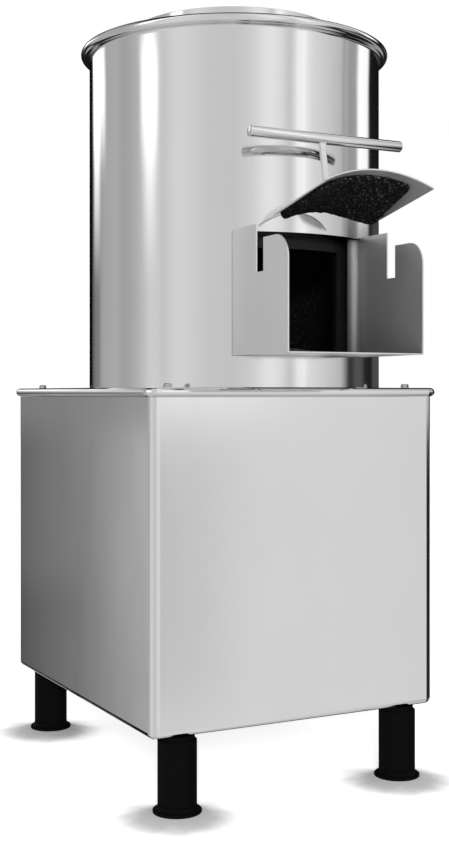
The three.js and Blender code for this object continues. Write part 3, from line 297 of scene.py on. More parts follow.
def grit(name, fleck, ground=0.0025):
    """Dark abrasive grit: ground is how light most of its small grains are, and fleck the brightest."""
    material, kit, shader, at = new_material(name, (0.006, 0.006, 0.006), 0.85, Specular_IOR_Level=0.12)
    grains = kit.add("ShaderNodeTexVoronoi", feature="F1")
    kit.feed(grains.inputs["Vector"], at)
    grains.inputs["Scale"].default_value = 620.0
    height = kit.math("SUBTRACT", 1.0, grains.outputs["Distance"])
    colour_share = kit.add("ShaderNodeSeparateColor")
    kit.feed(colour_share.inputs[0], grains.outputs["Color"])
    bright = kit.step(colour_share.outputs[0], 0.86, 1.0)
    kit.feed(shader.inputs["Base Color"], kit.ramp(bright, [(0.0, ground), (1.0, fleck)]))
    kit.feed(shader.inputs["Roughness"], kit.step(colour_share.outputs[1], 0.7, 1.0, 0.9, 0.45))
    coarse = kit.noise(at, 180.0, 4.0, 0.6)
    low = kit.bump(coarse, 1.0, 0.0012)
    kit.feed(shader.inputs["Normal"], kit.bump(height, 1.0, 0.0009, low))
    return material


POLISHED = steel("polished_steel", (0.80, 0.80, 0.80), 0.085, (3, 3, 900), 0.0000012, 0.01, 0.02)
SATIN = steel("satin_steel", (0.78, 0.78, 0.78), 0.10, (3, 3, 1400), 0.0000015, 0.012, 0.02)
# Painted shade: the folded sheet's colour is darkened in its recesses, down to a quarter in the deepest
SHEET = steel(
    "folded_sheet", (0.74, 0.74, 0.74), 0.42, (3, 3, 700), 0.000003, 0.02, 0.04,
    metallic=0.87, painted_recess_shade=(0.2, 0.27, 0.76, 0.25),
)
# Painted shade: the door plate's colour is darkened within 3 cm of other surfaces, as beside the pad, down to
# a third
DOOR_SHEET_STEEL = steel(
    "door_sheet", (0.76, 0.76, 0.76), 0.34, (3, 3, 700), 0.000003, 0.02, 0.04,
    metallic=0.93, painted_recess_shade=(0.03, 0.5, 0.96, 0.33),
)
# Painted shade: the inner drum's steel has a near-black colour that stands for the shade inside the machine
SHADE_DARK_INNER_STEEL = steel("inner_steel_with_painted_shade", (0.06, 0.06, 0.058), 0.45, (3, 3, 700), 0.000004, 0.04, 0.05)
MACHINED = steel("machined_steel", (0.60, 0.61, 0.62), 0.28, (900, 900, 40), 0.000006, 0.05, 0.05)
BLACK_PAINT = plain(
    "black_paint", (0.002, 0.002, 0.0022), 0.5, 900, 0.00001, 0.1, Specular_IOR_Level=0.03
)
GRIT = grit("black_grit", 0.07)
# Painted shade: the liner's grit has dimmer flecks than the pad's, for the shade inside the drum
SHADE_DARK_LINER_GRIT = grit("liner_grit_with_painted_shade", 0.02)
TABLE_GRIT = grit("turntable_grit", 0.30, 0.05)
CAST_IRON = plain("cast_iron", (0.16, 0.17, 0.18), 0.6, 500, 0.0001, 0.15, 0.3)
RUBBER = plain("black_rubber", (0.008, 0.008, 0.008), 0.7, 700, 0.00003, 0.15, Specular_IOR_Level=0.3)
MOTOR_PAINT = plain("motor_paint", (0.045, 0.075, 0.11), 0.42, 600, 0.00003, 0.08)
GREY_PLASTIC = plain("grey_plastic", (0.26, 0.27, 0.28), 0.45, 1500, 0.00003, 0.04)
GREEN_PLASTIC = plain("green_plastic", (0.008, 0.24, 0.04), 0.3, 900, 0.00001, 0.05)
RED_PLASTIC = plain("red_plastic", (0.45, 0.012, 0.01), 0.3, 900, 0.00001, 0.05)

CAD_FINISH = {
    "satin_steel": SATIN,
    "polished_steel": POLISHED,
    "black_paint": BLACK_PAINT,
    "grit_lining": GRIT,
    "grit_casting": TABLE_GRIT,
    "cast_iron": CAST_IRON,
    "machined_steel": MACHINED,
    "black_rubber": RUBBER,
    "motor_paint": MOTOR_PAINT,
    "grey_plastic": GREY_PLASTIC,
    "green_plastic": GREEN_PLASTIC,
    "red_plastic": RED_PLASTIC,
}
SLOT_OF = {part["node"]: part["material_slot"] for part in frame["record"]["subparts"]}
BODY_OF = {n: body for body, names in frame["record"]["behaviour"]["bodies"].items() for n in names}

# Ways to make meshes


def smooth(obj, angle=30.0):
    """Smooth shading, with the edges sharper than the angle kept sharp."""
    mesh = obj.data
    mesh.polygons.foreach_set("use_smooth", [True] * len(mesh.polygons))
    mesh.set_sharp_from_angle(angle=math.radians(angle))
    mesh.update()


def bevel(obj, width, segments=2, angle=30.0):
    """A narrow rounded edge, as folded, cut or turned metal has."""
    modifier = obj.modifiers.new("edges", "BEVEL")
    modifier.width = width * MM
    modifier.segments = segments
    modifier.limit_method = "ANGLE"
    modifier.angle_limit = math.radians(angle)
    modifier.harden_normals = True


def level_normals(obj):
    """Keeps large flat faces flat beside rounded edges."""
    modifier = obj.modifiers.new("level", "WEIGHTED_NORMAL")
    modifier.keep_sharp = True
    modifier.weight = 100


def piece(name, points, faces, node, material=None, angle=30.0, move=None):
    """A new visible piece that stands for one CAD node: it rides on its body and takes its slot."""
    mesh = bpy.data.meshes.new(name)
    placed = [Vector(p) for p in points]
    if move is not None:
        placed = [move @ p for p in placed]
    mesh.from_pydata([place(*p) for p in placed], [], faces)
    mesh.validate()
    obj = bpy.data.objects.new(name, mesh)
    bpy.context.scene.collection.objects.link(obj)
    mesh.materials.append(material or CAD_FINISH[SLOT_OF[node]])
    smooth(obj, angle)
    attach(obj, BODY_OF[node])
    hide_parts(node)
    return obj


def flipped_if_inside_out(points, faces):
    """The faces, turned so that they all look outwards."""
    volume = 0.0
    for face in faces:
        a = Vector(points[face[0]])
        for k in range(1, len(face) - 1):
            b, c = Vector(points[face[k]]), Vector(points[face[k + 1]])
            volume += a.dot(b.cross(c))
    return faces if volume > 0 else [tuple(reversed(face)) for face in faces]


def revolved(profile, segments, centre=(0.0, 0.0)):
    """Points and faces of a closed (radius, z) profile turned about a vertical axis."""
    points, faces, rows = [], [], []
    for radius, z in profile:
        if radius < 1e-6:
            rows.append([len(points)] * segments)
            points.append((centre[0], centre[1], z))
            continue
        row = []
        for k in range(segments):
            angle = 2 * math.pi * k / segments
            row.append(len(points))
            points.append((centre[0] + radius * math.sin(angle), centre[1] - radius * math.cos(angle), z))
        rows.append(row)
    count = len(rows)
    for i in range(count):
        low, high = rows[i], rows[(i + 1) % count]
        for k in range(segments):
            m = (k + 1) % segments
            face = []
            for corner in (low[k], low[m], high[m], high[k]):
                if corner not in face:
                    face.append(corner)
            if len(face) > 2:
                faces.append(tuple(face))
    return points, flipped_if_inside_out(points, faces)


def arc(centre, radius, start, end, steps):
    """Points (radius, z) on an arc, angles in degrees."""
    out = []
    for k in range(steps + 1):
        angle = math.radians(start + (end - start) * k / steps)
        out.append((centre[0] + radius * math.cos(angle), centre[1] + radius * math.sin(angle)))
    return out


OUTER_SKIN, INNER_SKIN, TOP_EDGE = 0, 1, 2
LEVEL_TOLERANCE = 0.01


def walled(outer, inner, rows, top, window, columns=240, shape=None):
    """A round wall about the drum's axis with a window in its front.

    rows are heights shared by both skins, top is a list of (radius, z) between them, and window is
    (half width, low z, high z) or None. shape(radius, angle, z, skin) may move a point in or out.
    """
    half = columns // 2
    in_window = max(4, int(round(half * math.asin(window[0] / outer) / math.pi))) if window else 0
    profile = [(outer, z, OUTER_SKIN) for z in rows]
    profile += [(r, z, TOP_EDGE) for r, z in top]
    profile += [(inner, z, INNER_SKIN) for z in reversed(rows)]
    count, depth = len(profile), len(rows)
    points = []

    def angle_at(j, radius):
        if not window:
            return math.pi * j / half
        edge = math.asin(window[0] / radius)
        if abs(j) <= in_window:
            return edge * j / in_window
        return math.copysign(edge + (math.pi - edge) * (abs(j) - in_window) / (half - in_window), j)

    for j in range(-half, half):
        for radius, z, skin in profile:
            angle = angle_at(j, radius if skin != TOP_EDGE else outer)
            moved = shape(radius, angle, z, skin) if shape else radius
            points.append((moved * math.sin(angle), DRUM_AXIS_Y - moved * math.cos(angle), z))

    def at(j, i):
        return ((j + half) % columns) * count + i % count

    def opened(j, z_a, z_b):
        if not window or not -in_window <= j < in_window:
            return False
        above = min(z_a, z_b) >= window[1] - LEVEL_TOLERANCE
        return above and max(z_a, z_b) <= window[2] + LEVEL_TOLERANCE

    faces = []
    for j in range(-half, half):
        for i in range(count):
            a, b = profile[i], profile[(i + 1) % count]
            if a[2] == b[2] != TOP_EDGE and opened(j, a[1], b[1]):
                continue
            faces.append((at(j, i), at(j + 1, i), at(j + 1, i + 1), at(j, i + 1)))
    if window:
        low = min(range(depth), key=lambda k: abs(rows[k] - window[1]))
        high = min(range(depth), key=lambda k: abs(rows[k] - window[2]))

        def other(k):
            return count - 1 - k

        for j in range(-in_window, in_window):
            faces.append((at(j, low), at(j, other(low)), at(j + 1, other(low)), at(j + 1, low)))
            faces.append((at(j, high), at(j + 1, high), at(j + 1, other(high)), at(j, other(high))))
        for k in range(low, high):
            for j, turn in ((-in_window, 1), (in_window, -1)):
                rim = (at(j, k), at(j, k + 1), at(j, other(k + 1)), at(j, other(k)))
                faces.append(rim if turn > 0 else tuple(reversed(rim)))
    return points, flipped_if_inside_out(points, faces)


def spread(low, high, stops, step):
    """Heights from low to high that include every stop, no further apart than the step."""
    marks = sorted({low, high, *stops})
    out = [marks[0]]
    for a, b in zip(marks, marks[1:]):
        parts = max(1, math.ceil((b - a) / step))
        out += [a + (b - a) * k / parts for k in range(1, parts + 1)]
    return out


# Pieces that keep their CAD shape

for name, obj in nodes.items():
    obj.data.materials.clear()
    obj.data.materials.append(CAD_FINISH[SLOT_OF[name]])
    for polygon in obj.data.polygons:
        polygon.material_index = 0
    smooth(obj)

for name in ("cabinet_body", "deck_plate", "switch_box", "service_panel", "door_seal", "motor_stand"):
    level_normals(nodes[name])
nodes["chute_floor"].data.materials[0] = SHEET
bevel(nodes["chute_floor"], 0.35)
for k in range(1, 5):
    bevel(nodes["deck_bolt_%d" % k], 0.5)
    bevel(nodes["panel_screw_%d" % k], 0.3)

# Building the chute's cheeks


def with_rolled_lip(mesh, side):
    """The cheek with a rolled lip on its inner face, between the drums, beside the inner drum's window.

    A known fault: points behind the lip's end aren't held back. Out of sight, they run on outwards
    through the cheek's outer face and into the inner drum and its liner.
    """
    start, end = LIP_SPAN
    work = bmesh.new()
    work.from_mesh(mesh)
    for k in range(LIP_CUTS + 1):
        cut = place(0, start + (end - start) * k / LIP_CUTS, 0)
        geometry = work.verts[:] + work.edges[:] + work.faces[:]
        bmesh.ops.bisect_plane(work, geom=geometry, dist=1e-6, plane_co=cut, plane_no=(0, 1, 0))
    for vertex in work.verts:
        share = ((vertex.co.y - FRONT_Y) / MM - start) / (end - start)
        if share > 0 and side * vertex.co.x / MM < CHEEK_INNER + LIP_SKIN:
            turn = math.radians(LIP_TURN) * min(share / LIP_TURN_SHARE, 1)
            back = max(share - LIP_TURN_SHARE, 0) / (1 - LIP_TURN_SHARE)
            vertex.co.x -= side * LIP_RADIUS * (1 - math.cos(turn)) * (1 - back) * MM
            lip = start + LIP_RADIUS * math.sin(turn)
            y = lip + (end - lip) * back
            vertex.co.y = y * MM + FRONT_Y
    work.verts.index_update()
    points = [(v.co.x / MM, (v.co.y - FRONT_Y) / MM, v.co.z / MM) for v in work.verts]
    faces = [tuple(v.index for v in face.verts) for face in work.faces]
    work.free()
    return points, faces


for side, word in ((-1, "left"), (1, "right")):
    points, faces = with_rolled_lip(nodes["chute_cheek_" + word].data, side)
    cheek = piece("chute_side_" + word, points, faces, "chute_cheek_" + word, SHEET)
    bevel(cheek, 0.35)

# Building the drum, liner, cover and collar

# The wall curves out into the bead that is rolled round its top edge. The two drums are open at
# their front windows only: unlike the solids, they have no holes for the outlet and the inlet.
bead_axis = DRUM_RADIUS + BEAD_RADIUS - BEAD_BITE
curve_axis = DRUM_RADIUS + BEAD_CURVE
drop = math.sqrt((BEAD_CURVE + BEAD_RADIUS) ** 2 - (curve_axis - bead_axis) ** 2)
meeting = math.degrees(math.atan2(drop, bead_axis - curve_axis))
bead = arc((curve_axis, BEAD_Z - drop), BEAD_CURVE, 180, meeting, 8)
bead += arc((bead_axis, BEAD_Z), BEAD_RADIUS, meeting + 180, 540, 28)[1:]
shell_top = bead[0][1]
rows = spread(DRUM_BOTTOM, shell_top, SHELL_WINDOW[1:], 60)
points, faces = walled(
    DRUM_RADIUS, DRUM_RADIUS - DRUM_SHEET, rows, bead[1:] + [(DRUM_RADIUS - DRUM_SHEET, BEAD_Z)], SHELL_WINDOW
)
piece("drum_shell", points, faces, "outer_drum")

rows = spread(INNER_BOTTOM, INNER_TOP, INNER_WINDOW[1:], 60)
points, faces = walled(INNER_RADIUS, INNER_RADIUS - INNER_SHEET, rows, [], INNER_WINDOW)
piece("peeling_drum", points, faces, "inner_drum", SHADE_DARK_INNER_STEEL)


def rough_liner(radius, angle, z, skin):
    """The liner's bore is lumpy with grit."""
    if skin != INNER_SKIN:
        return radius
    spot = Vector((math.sin(angle) * 9, math.cos(angle) * 9, z * 0.05))
    return radius + 0.9 * noise.noise(spot * 2.2) + 0.5 * noise.noise(spot * 6.1)


rows = spread(LINER_BOTTOM, LINER_TOP, (CHUTE_FLOOR, INNER_WINDOW[2]), 7)
points, faces = walled(
    LINER_OUTER, LINER_BORE, rows, [], (INNER_WINDOW[0], CHUTE_FLOOR, INNER_WINDOW[2]), shape=rough_liner
)
piece("grit_liner", points, faces, "abrasive_liner", SHADE_DARK_LINER_GRIT)

axis = (0.0, DRUM_AXIS_Y)
inner = COLLAR_RADIUS - COLLAR_SHEET
cover_low = COVER_TOP - COVER_SHEET
cover = [(inner, cover_low), (COVER_OUTER - COVER_SHEET - 2, cover_low)]
cover += arc((COVER_OUTER - COVER_SHEET - 2, cover_low - 2), 2, 90, 0, 4)[1:]
cover += [(COVER_OUTER - COVER_SHEET, COVER_TOP - COVER_SHEET - COVER_DROP)]
cover += [(COVER_OUTER, COVER_TOP - COVER_SHEET - COVER_DROP)]
cover += arc((COVER_OUTER - 4, COVER_TOP - 4), 4, 0, 90, 6)
cover += [(inner, COVER_TOP)]
points, faces = revolved(cover, 240, axis)
piece("drum_cover", points, faces, "top_cover")

low = COVER_TOP + SEAT_GAP
lip = COLLAR_SHEET / 2
collar = [(inner + 2, low), (COLLAR_RADIUS + COLLAR_FLANGE, low)]
collar += arc((COLLAR_RADIUS + COLLAR_FLANGE, low + lip), lip, -60, 90, 4)
collar += arc((COLLAR_RADIUS + 3, low + COLLAR_SHEET + 3), 3, 270, 180, 5)
collar += arc((COLLAR_RADIUS - lip, COLLAR_TOP - lip), lip, 0, 180, 8)
collar += [(inner, low + 2)]
points, faces = revolved(collar, 240, axis)
piece("feed_ring", points, faces, "feed_collar")

# Building the turntable and its nut


def table_height(radius, angle):
    ridge = max(math.cos(TABLE_RIDGES * angle), 0) ** 2
    share = max(radius - TABLE_HUB, 0) / (TABLE_RADIUS - TABLE_HUB)
    spot = Vector((math.sin(angle), math.cos(angle), 0)) * radius * 0.09
    lumps = 0.7 * noise.noise(spot * 2.0) + 0.4 * noise.noise(spot * 5.0)
    calm = 1.0 if radius > TABLE_HUB else 0.0
    return TABLE_TOP + TABLE_WAVE * ridge * math.sin(math.pi * share) + lumps * calm - 0.2


def turntable_mesh(spokes=180, rings=44):
    """The abrasive disc with its ridges and two sweeping paddles."""
    bottom = TABLE_TOP - TABLE_THICKNESS
    bore = SHAFT_RADIUS + SEAT_GAP
    hub_bottom = bottom - TABLE_HUB_DROP
    profile = [(bore, hub_bottom), (TABLE_HUB, hub_bottom), (TABLE_HUB, bottom)]
    profile += [(TABLE_RADIUS - TABLE_EDGE, bottom), (TABLE_RADIUS, bottom + TABLE_EDGE)]
    rows = [[(r, z)] * spokes for r, z in profile]
    for k in range(rings + 1):
        radius = TABLE_RADIUS + (bore - TABLE_RADIUS) * k / rings
        rows.append([(radius, table_height(radius, 2 * math.pi * s / spokes)) for s in range(spokes)])
    points = []
    for row in rows:
        for s, (radius, z) in enumerate(row):
            angle = 2 * math.pi * s / spokes
            points.append((radius * math.cos(angle), DRUM_AXIS_Y + radius * math.sin(angle), z))
    faces = []
    for i in range(len(rows)):
        for s in range(spokes):
            a, b = i * spokes + s, i * spokes + (s + 1) % spokes
            c, d = ((i + 1) % len(rows)) * spokes + (s + 1) % spokes, ((i + 1) % len(rows)) * spokes + s
            faces.append((a, b, c, d))
    faces = flipped_if_inside_out(points, faces)
    for side in (-1, 1):
        start = len(points)
        for x in (side * (TABLE_HUB - 5), side * (TABLE_RADIUS - 8)):
            for y in (-PADDLE_HALF, PADDLE_HALF):
                for z in (bottom - PADDLE_DROP, bottom + 2):
                    points.append((x, DRUM_AXIS_Y + y, z))
        box = [(0, 1, 3, 2), (4, 6, 7, 5), (0, 4, 5, 1), (2, 3, 7, 6), (0, 2, 6, 4), (1, 5, 7, 3)]
        faces += [tuple(start + c for c in (face if side > 0 else reversed(face))) for face in box]
    return points, faces


points, faces = turntable_mesh()
piece("grit_turntable", points, faces, "turntable", angle=50)

nut_low = TABLE_TOP + SEAT_GAP
nut_high = TABLE_TOP + NUT_EDGE
nut_bore = SHAFT_RADIUS + SEAT_GAP
cap = [(nut_bore, nut_low), (NUT_RADIUS - NUT_CHAMFER, nut_low), (NUT_RADIUS, nut_low + NUT_CHAMFER)]
cap += [(NUT_RADIUS, nut_high - SEAT_GAP), (NUT_RADIUS - SEAT_GAP, nut_high)]
for k in range(14):
    t = math.pi / 2 * k / 14
    cap.append((DOME_RADIUS * math.cos(t), nut_high + DOME_HEIGHT * math.sin(t)))
cap += [(0, nut_high + DOME_HEIGHT), (0, nut_high), (nut_bore, nut_high)]
points, faces = revolved(cap, 72, axis)
piece("domed_nut", points, faces, "turntable_cap_nut")

# Building the legs and feet

for where, (x, y) in LEG_PLACES.items():
    shoulder = LEG_TOP + SEAT_GAP - LEG_NECK_HEIGHT
    corner = (LEG_RADIUS - LEG_SHOULDER_EDGE, shoulder - LEG_SHOULDER_EDGE)
    leg = [(LEG_BORE_RADIUS, LEG_BOTTOM), (LEG_RADIUS - LEG_EDGE, LEG_BOTTOM)]
    leg += [(LEG_RADIUS, LEG_BOTTOM + LEG_EDGE), (LEG_RADIUS, corner[1] - 1)]
    leg += arc(corner, LEG_SHOULDER_EDGE, 0, 90, 5)
    leg += [(LEG_NECK_RADIUS, shoulder), (LEG_NECK_RADIUS, LEG_TOP), (LEG_BORE_RADIUS, LEG_TOP)]
    points, faces = revolved(leg, 72, (x, y))
    piece("leg_tube_" + where, points, faces, "leg_" + where)
    foot = [(0, 0), (FOOT_RADIUS - 0.6, 0)]
    foot += arc((FOOT_RADIUS - FOOT_LOW_EDGE, FOOT_LOW_EDGE), FOOT_LOW_EDGE, -60, 0, 3)
    foot += [(FOOT_RADIUS, FOOT_EDGE - 1)] + arc((FOOT_RADIUS - 1, FOOT_EDGE - 1), 1, 10, 70, 4)
    for k in range(1, 11):
        t = math.pi / 2 * k / 10
        foot.append((LEG_RADIUS + FOOT_FLARE * (1 - math.sin(t)), FOOT_EDGE + FOOT_FLARE * (1 - math.cos(t))))
    foot += [(SPIGOT_RADIUS, FOOT_EDGE + FOOT_FLARE), (SPIGOT_RADIUS, SPIGOT_TOP), (0, SPIGOT_TOP)]
    points, faces = revolved(foot, 72, (x, y))
    piece("foot_disc_" + where, points, faces, "foot_" + where)

# Building the door

door_pose = Matrix.Translation((0, DOOR_BAR_Y, DOOR_BAR_Z))
door_pose = door_pose @ Matrix.Rotation(math.radians(-DOOR_TILT), 4, "X")
door_offset = DRUM_AXIS_Y - DOOR_BAR_Y

bar = [(0, -BAR_HALF)] + arc((BAR_RADIUS - 1, -BAR_HALF + 1), 1, -90, 0, 4)
bar += arc((BAR_RADIUS - 1, BAR_HALF - 1), 1, 0, 90, 4) + [(0, BAR_HALF)]
points, faces = revolved(bar, 64)
turn = Matrix.Rotation(math.radians(90), 4, "Y")
piece("bar_handle", points, faces, "door_bar", move=door_pose @ turn)


def door_point(x, z, radius):
    return (x, door_offset - math.sqrt(radius * radius - x * x), z)


def curved_sheet(half, low, high, outer, inner, across=56, along=12):
    """A rectangular piece of a cylinder, as points and faces."""
    points, faces = [], []
    for radius in (outer, inner):
        for i in range(along + 1):
            z = low + (high - low) * i / along
            for j in range(across + 1):
                points.append(door_point(-half + 2 * half * j / across, z, radius))
    row, skin = across + 1, (across + 1) * (along + 1)
    for i in range(along):
        for j in range(across):
            a = i * row + j
            faces.append((a, a + 1, a + row + 1, a + row))
            faces.append((skin + a, skin + a + row, skin + a + row + 1, skin + a + 1))
    for j in range(across):
        faces.append((j, skin + j, skin + j + 1, j + 1))
        top = along * row + j
        faces.append((top, top + 1, skin + top + 1, skin + top))
    for i in range(along):
        a, b = i * row, i * row + across
        faces.append((a, a + row, skin + a + row, skin + a))
        faces.append((b, skin + b, skin + b + row, b + row))
    return points, flipped_if_inside_out(points, faces)


points, faces = curved_sheet(DOOR_HALF, -DOOR_BELOW, DOOR_ABOVE, DOOR_RADIUS, DOOR_RADIUS - DOOR_SHEET)
plate = piece("curved_door", points, faces, "door_plate", DOOR_SHEET_STEEL, move=door_pose)
bevel(plate, 0.4)


def rounded_outline(corners, radius, count):
    """Points spaced evenly round a polygon with rounded corners."""
    path = []
    for k, corner in enumerate(corners):
        here, last = Vector(corner), Vector(corners[k - 1])
        following = Vector(corners[(k + 1) % len(corners)])
        to_last, to_next = (last - here).normalized(), (following - here).normalized()
        half = to_last.angle(to_next) / 2
        centre = here + (to_last + to_next).normalized() * radius / math.sin(half)
        start = here + to_last * radius / math.tan(half) - centre
        end = here + to_next * radius / math.tan(half) - centre
        a, b = math.atan2(start.y, start.x), math.atan2(end.y, end.x)
        b += 2 * math.pi * round((a - b) / (2 * math.pi))
        for i in range(9):
            angle = a + (b - a) * i / 8
            path.append(centre + radius * Vector((math.cos(angle), math.sin(angle))))
    lengths = [(path[(k + 1) % len(path)] - p).length for k, p in enumerate(path)]
    step, out, k, run = sum(lengths) / count, [], 0, 0.0
    for i in range(count):
        while run + lengths[k] < i * step:
            run += lengths[k]
            k += 1
        out.append(path[k].lerp(path[(k + 1) % len(path)], (i * step - run) / lengths[k]))
    return out


def pad_depth(x, z, inset):
    """How far the grit stands off the plate; inset is the distance from the pad's edge."""
    back = min(max((z - PAD_BACK_START) / PAD_BACK_LENGTH, 0), 1)
    centre, width, bulge = PAD_BULGE
    depth = PAD_THIN + PAD_BACK_EXTRA * back + bulge * back * math.exp(-(((x - centre) / width) ** 2))
    edge = min(inset / PAD_EDGE, 1)
    lumps = 0.8 * noise.noise(Vector((x, z, 1.0)) * 0.16) + 0.6 * noise.noise(Vector((x, z, 5.0)) * 0.5)
    return depth * math.sqrt(max(1 - (1 - edge) ** 2, 0.04)) + lumps


def grit_pad(rings=40, spokes=240):
    """The pad: a slab of grit with round corners and a ragged edge, bent to the plate."""
    outline = rounded_outline(PAD_CORNERS, PAD_CORNER, spokes)
    centre = sum(outline, Vector((0, 0))) / spokes
    base = DOOR_RADIUS - DOOR_SHEET - SEAT_GAP
    points, faces = [], []
    for skin in (0, 1):
        for i in range(rings + 1):
            share = 1 - (i / (rings + 1)) ** 1.3
            for k, corner in enumerate(outline):
                spot = corner - centre
                ragged = 1.2 * noise.noise(Vector((corner.x, corner.y, 3.0)) * 0.12)
                ragged += 0.9 * noise.noise(Vector((corner.x, corner.y, 7.0)) * 0.4)
                reach = spot.length + ragged
                at = centre + spot.normalized() * reach * share
                depth = 0.0 if skin else pad_depth(at.x, at.y, reach * (1 - share))
                points.append(door_point(at.x, at.y, base - depth))
    block = (rings + 1) * spokes
    for skin in (0, 1):
        for i in range(rings):
            for k in range(spokes):
                m = (k + 1) % spokes
                a, b = skin * block + i * spokes + k, skin * block + i * spokes + m
                quad = (a, b, b + spokes, a + spokes)
                faces.append(quad if skin == 0 else tuple(reversed(quad)))
        last = [skin * block + rings * spokes + k for k in range(spokes)]
        faces.append(tuple(last) if skin == 0 else tuple(reversed(last)))
    for k in range(spokes):
        m = (k + 1) % spokes
        faces.append((k, block + k, block + m, m))
    return points, flipped_if_inside_out(points, faces)


points, faces = grit_pad()
pad = piece("grit_pad", points, faces, "door_pad", angle=60, move=door_pose)
pad.visible_glossy = False

# The strip between bar and plate, with a fillet of weld at each end
plate_y = door_offset - math.sqrt(DOOR_RADIUS ** 2 - STEM_X ** 2)
stations = [(BAR_RADIUS - 0.6, 1.5), (BAR_RADIUS + 0.8, 0.8), (BAR_RADIUS + 2.5, 0.15), (BAR_RADIUS + 5, 0)]
stations += [(plate_y - 5, 0), (plate_y - 2.5, 0.15), (plate_y - 1, 0.9), (plate_y - 0.2, 1.8)]
points, faces = [], []
for y, flare in stations:
    w, t = STEM_WIDTH / 2 + flare, STEM_THICKNESS / 2 + flare
    points += [(STEM_X - w, y, -t), (STEM_X + w, y, -t), (STEM_X + w, y, t), (STEM_X - w, y, t)]
for i in range(len(stations) - 1):
    for k in range(4):
        a, b = i * 4 + k, i * 4 + (k + 1) % 4
        faces.append((a, b, b + 4, a + 4))
last = (len(stations) - 1) * 4
faces += [(3, 2, 1, 0), (last, last + 1, last + 2, last + 3)]
stem = piece("door_strip", points, flipped_if_inside_out(points, faces), "door_stem", move=door_pose)
bevel(stem, 0.6, 3)
stem.visible_glossy = False

# Floor, lights and camera

FLOOR_REACH = 14.0
FLOOR_GREY = 0.9
FLOOR_SEEN_LESS = 0.36
# The floor's glow for camera rays: two distances in metres from the middle, and its strength at both
FLOOR_GLOW = (0.6, 1.6, 0.72, 0.95)
# The legs' contact shadows: their reach in metres, the way they lean, and the occlusion they fade between
CONTACT_REACH = 0.09
CONTACT_SIDE = (0.27, 0.51, 0.82)
CONTACT_FADE = (0.85, 0.962)

mesh = bpy.data.meshes.new("floor")
corners = [(x * FLOOR_REACH, y * FLOOR_REACH, 0) for x, y in ((-1, -1), (1, -1), (1, 1), (-1, 1))]
mesh.from_pydata(corners, [], [(0, 1, 2, 3)])
floor = bpy.data.objects.new("floor", mesh)
bpy.context.scene.collection.objects.link(floor)
floor.visible_glossy = False
floor_material, kit, shader, at = new_material("floor", (FLOOR_GREY,) * 3, 0.9)
light_path = kit.add("ShaderNodeLightPath")
seen = light_path.outputs["Is Camera Ray"]
less = kit.math("MULTIPLY", seen, FLOOR_SEEN_LESS)
kit.feed(shader.inputs["Base Color"], kit.math("SUBTRACT", FLOOR_GREY, less))
away = kit.add("ShaderNodeVectorMath", operation="LENGTH")
kit.feed(away.inputs[0], at)
lift = kit.step(away.outputs["Value"], *FLOOR_GLOW)
contact = kit.add("ShaderNodeAmbientOcclusion", samples=16)
contact.inputs["Distance"].default_value = CONTACT_REACH
leaning = kit.add("ShaderNodeCombineXYZ")
for socket, share in zip(leaning.inputs, CONTACT_SIDE):
    socket.default_value = share
kit.feed(contact.inputs["Normal"], leaning.outputs[0])
lift = kit.math("MULTIPLY", lift, kit.step(contact.outputs["AO"], *CONTACT_FADE))
glow = kit.add("ShaderNodeEmission")
kit.feed(glow.inputs["Strength"], kit.math("MULTIPLY", seen, lift))
both = kit.add("ShaderNodeAddShader")
kit.feed(both.inputs[0], shader.outputs["BSDF"])
kit.feed(both.inputs[1], glow.outputs["Emission"])
kit.feed(kit.tree.nodes["Material Output"].inputs["Surface"], both.outputs[0])
mesh.materials.append(floor_material)

# The studio that the metal reflects: walls by azimuth, 0 towards the front and 90 to the right
STUDIO_WALLS = [
    (-180, 0.01), (-177, 0.09), (-170, 0.20), (-159, 0.26), (-156, 0.39), (-148, 0.455), (-132, 0.49),
    (-123, 0.43), (-115, 0.46), (-108, 0.53), (-101, 0.64), (-96, 0.74), (-88, 0.74), (-84, 0.67),
    (-73, 0.80), (-63, 0.78), (-48, 0.69), (-28, 0.67), (-14, 0.76), (-4, 0.93), (2, 0.95), (9, 0.85),
    (15, 0.67), (24.5, 0.66), (28.5, 0.82), (38, 0.80), (50, 0.70), (63, 0.58), (67, 0.34), (72, 0.05),
    (110, 0.01), (180, 0.0),
]
# The same below eye level, where the cabinet's flat faces look
LOW_WALLS = [
    (-180, 0.02), (-170, 0.03), (-163, 0.03), (-161.9, 0.15), (-161, 0.22), (-158.7, 0.235), (-158, 0.28),
    (-157.4, 0.43), (-156.6, 0.56), (-148, 0.50), (-115, 0.46), (-96, 0.74), (-73, 0.80),
    (-48, 0.69), (-20, 0.70), (0, 0.85), (12, 0.66), (24.3, 0.65), (26, 0.66), (27.5, 0.82),
    (34, 0.815), (36.3, 0.79), (40, 0.74), (45, 0.33),
    (50, 0.05), (60, 0.02), (110, 0.01), (170, 0.01), (180, 0.02),
]
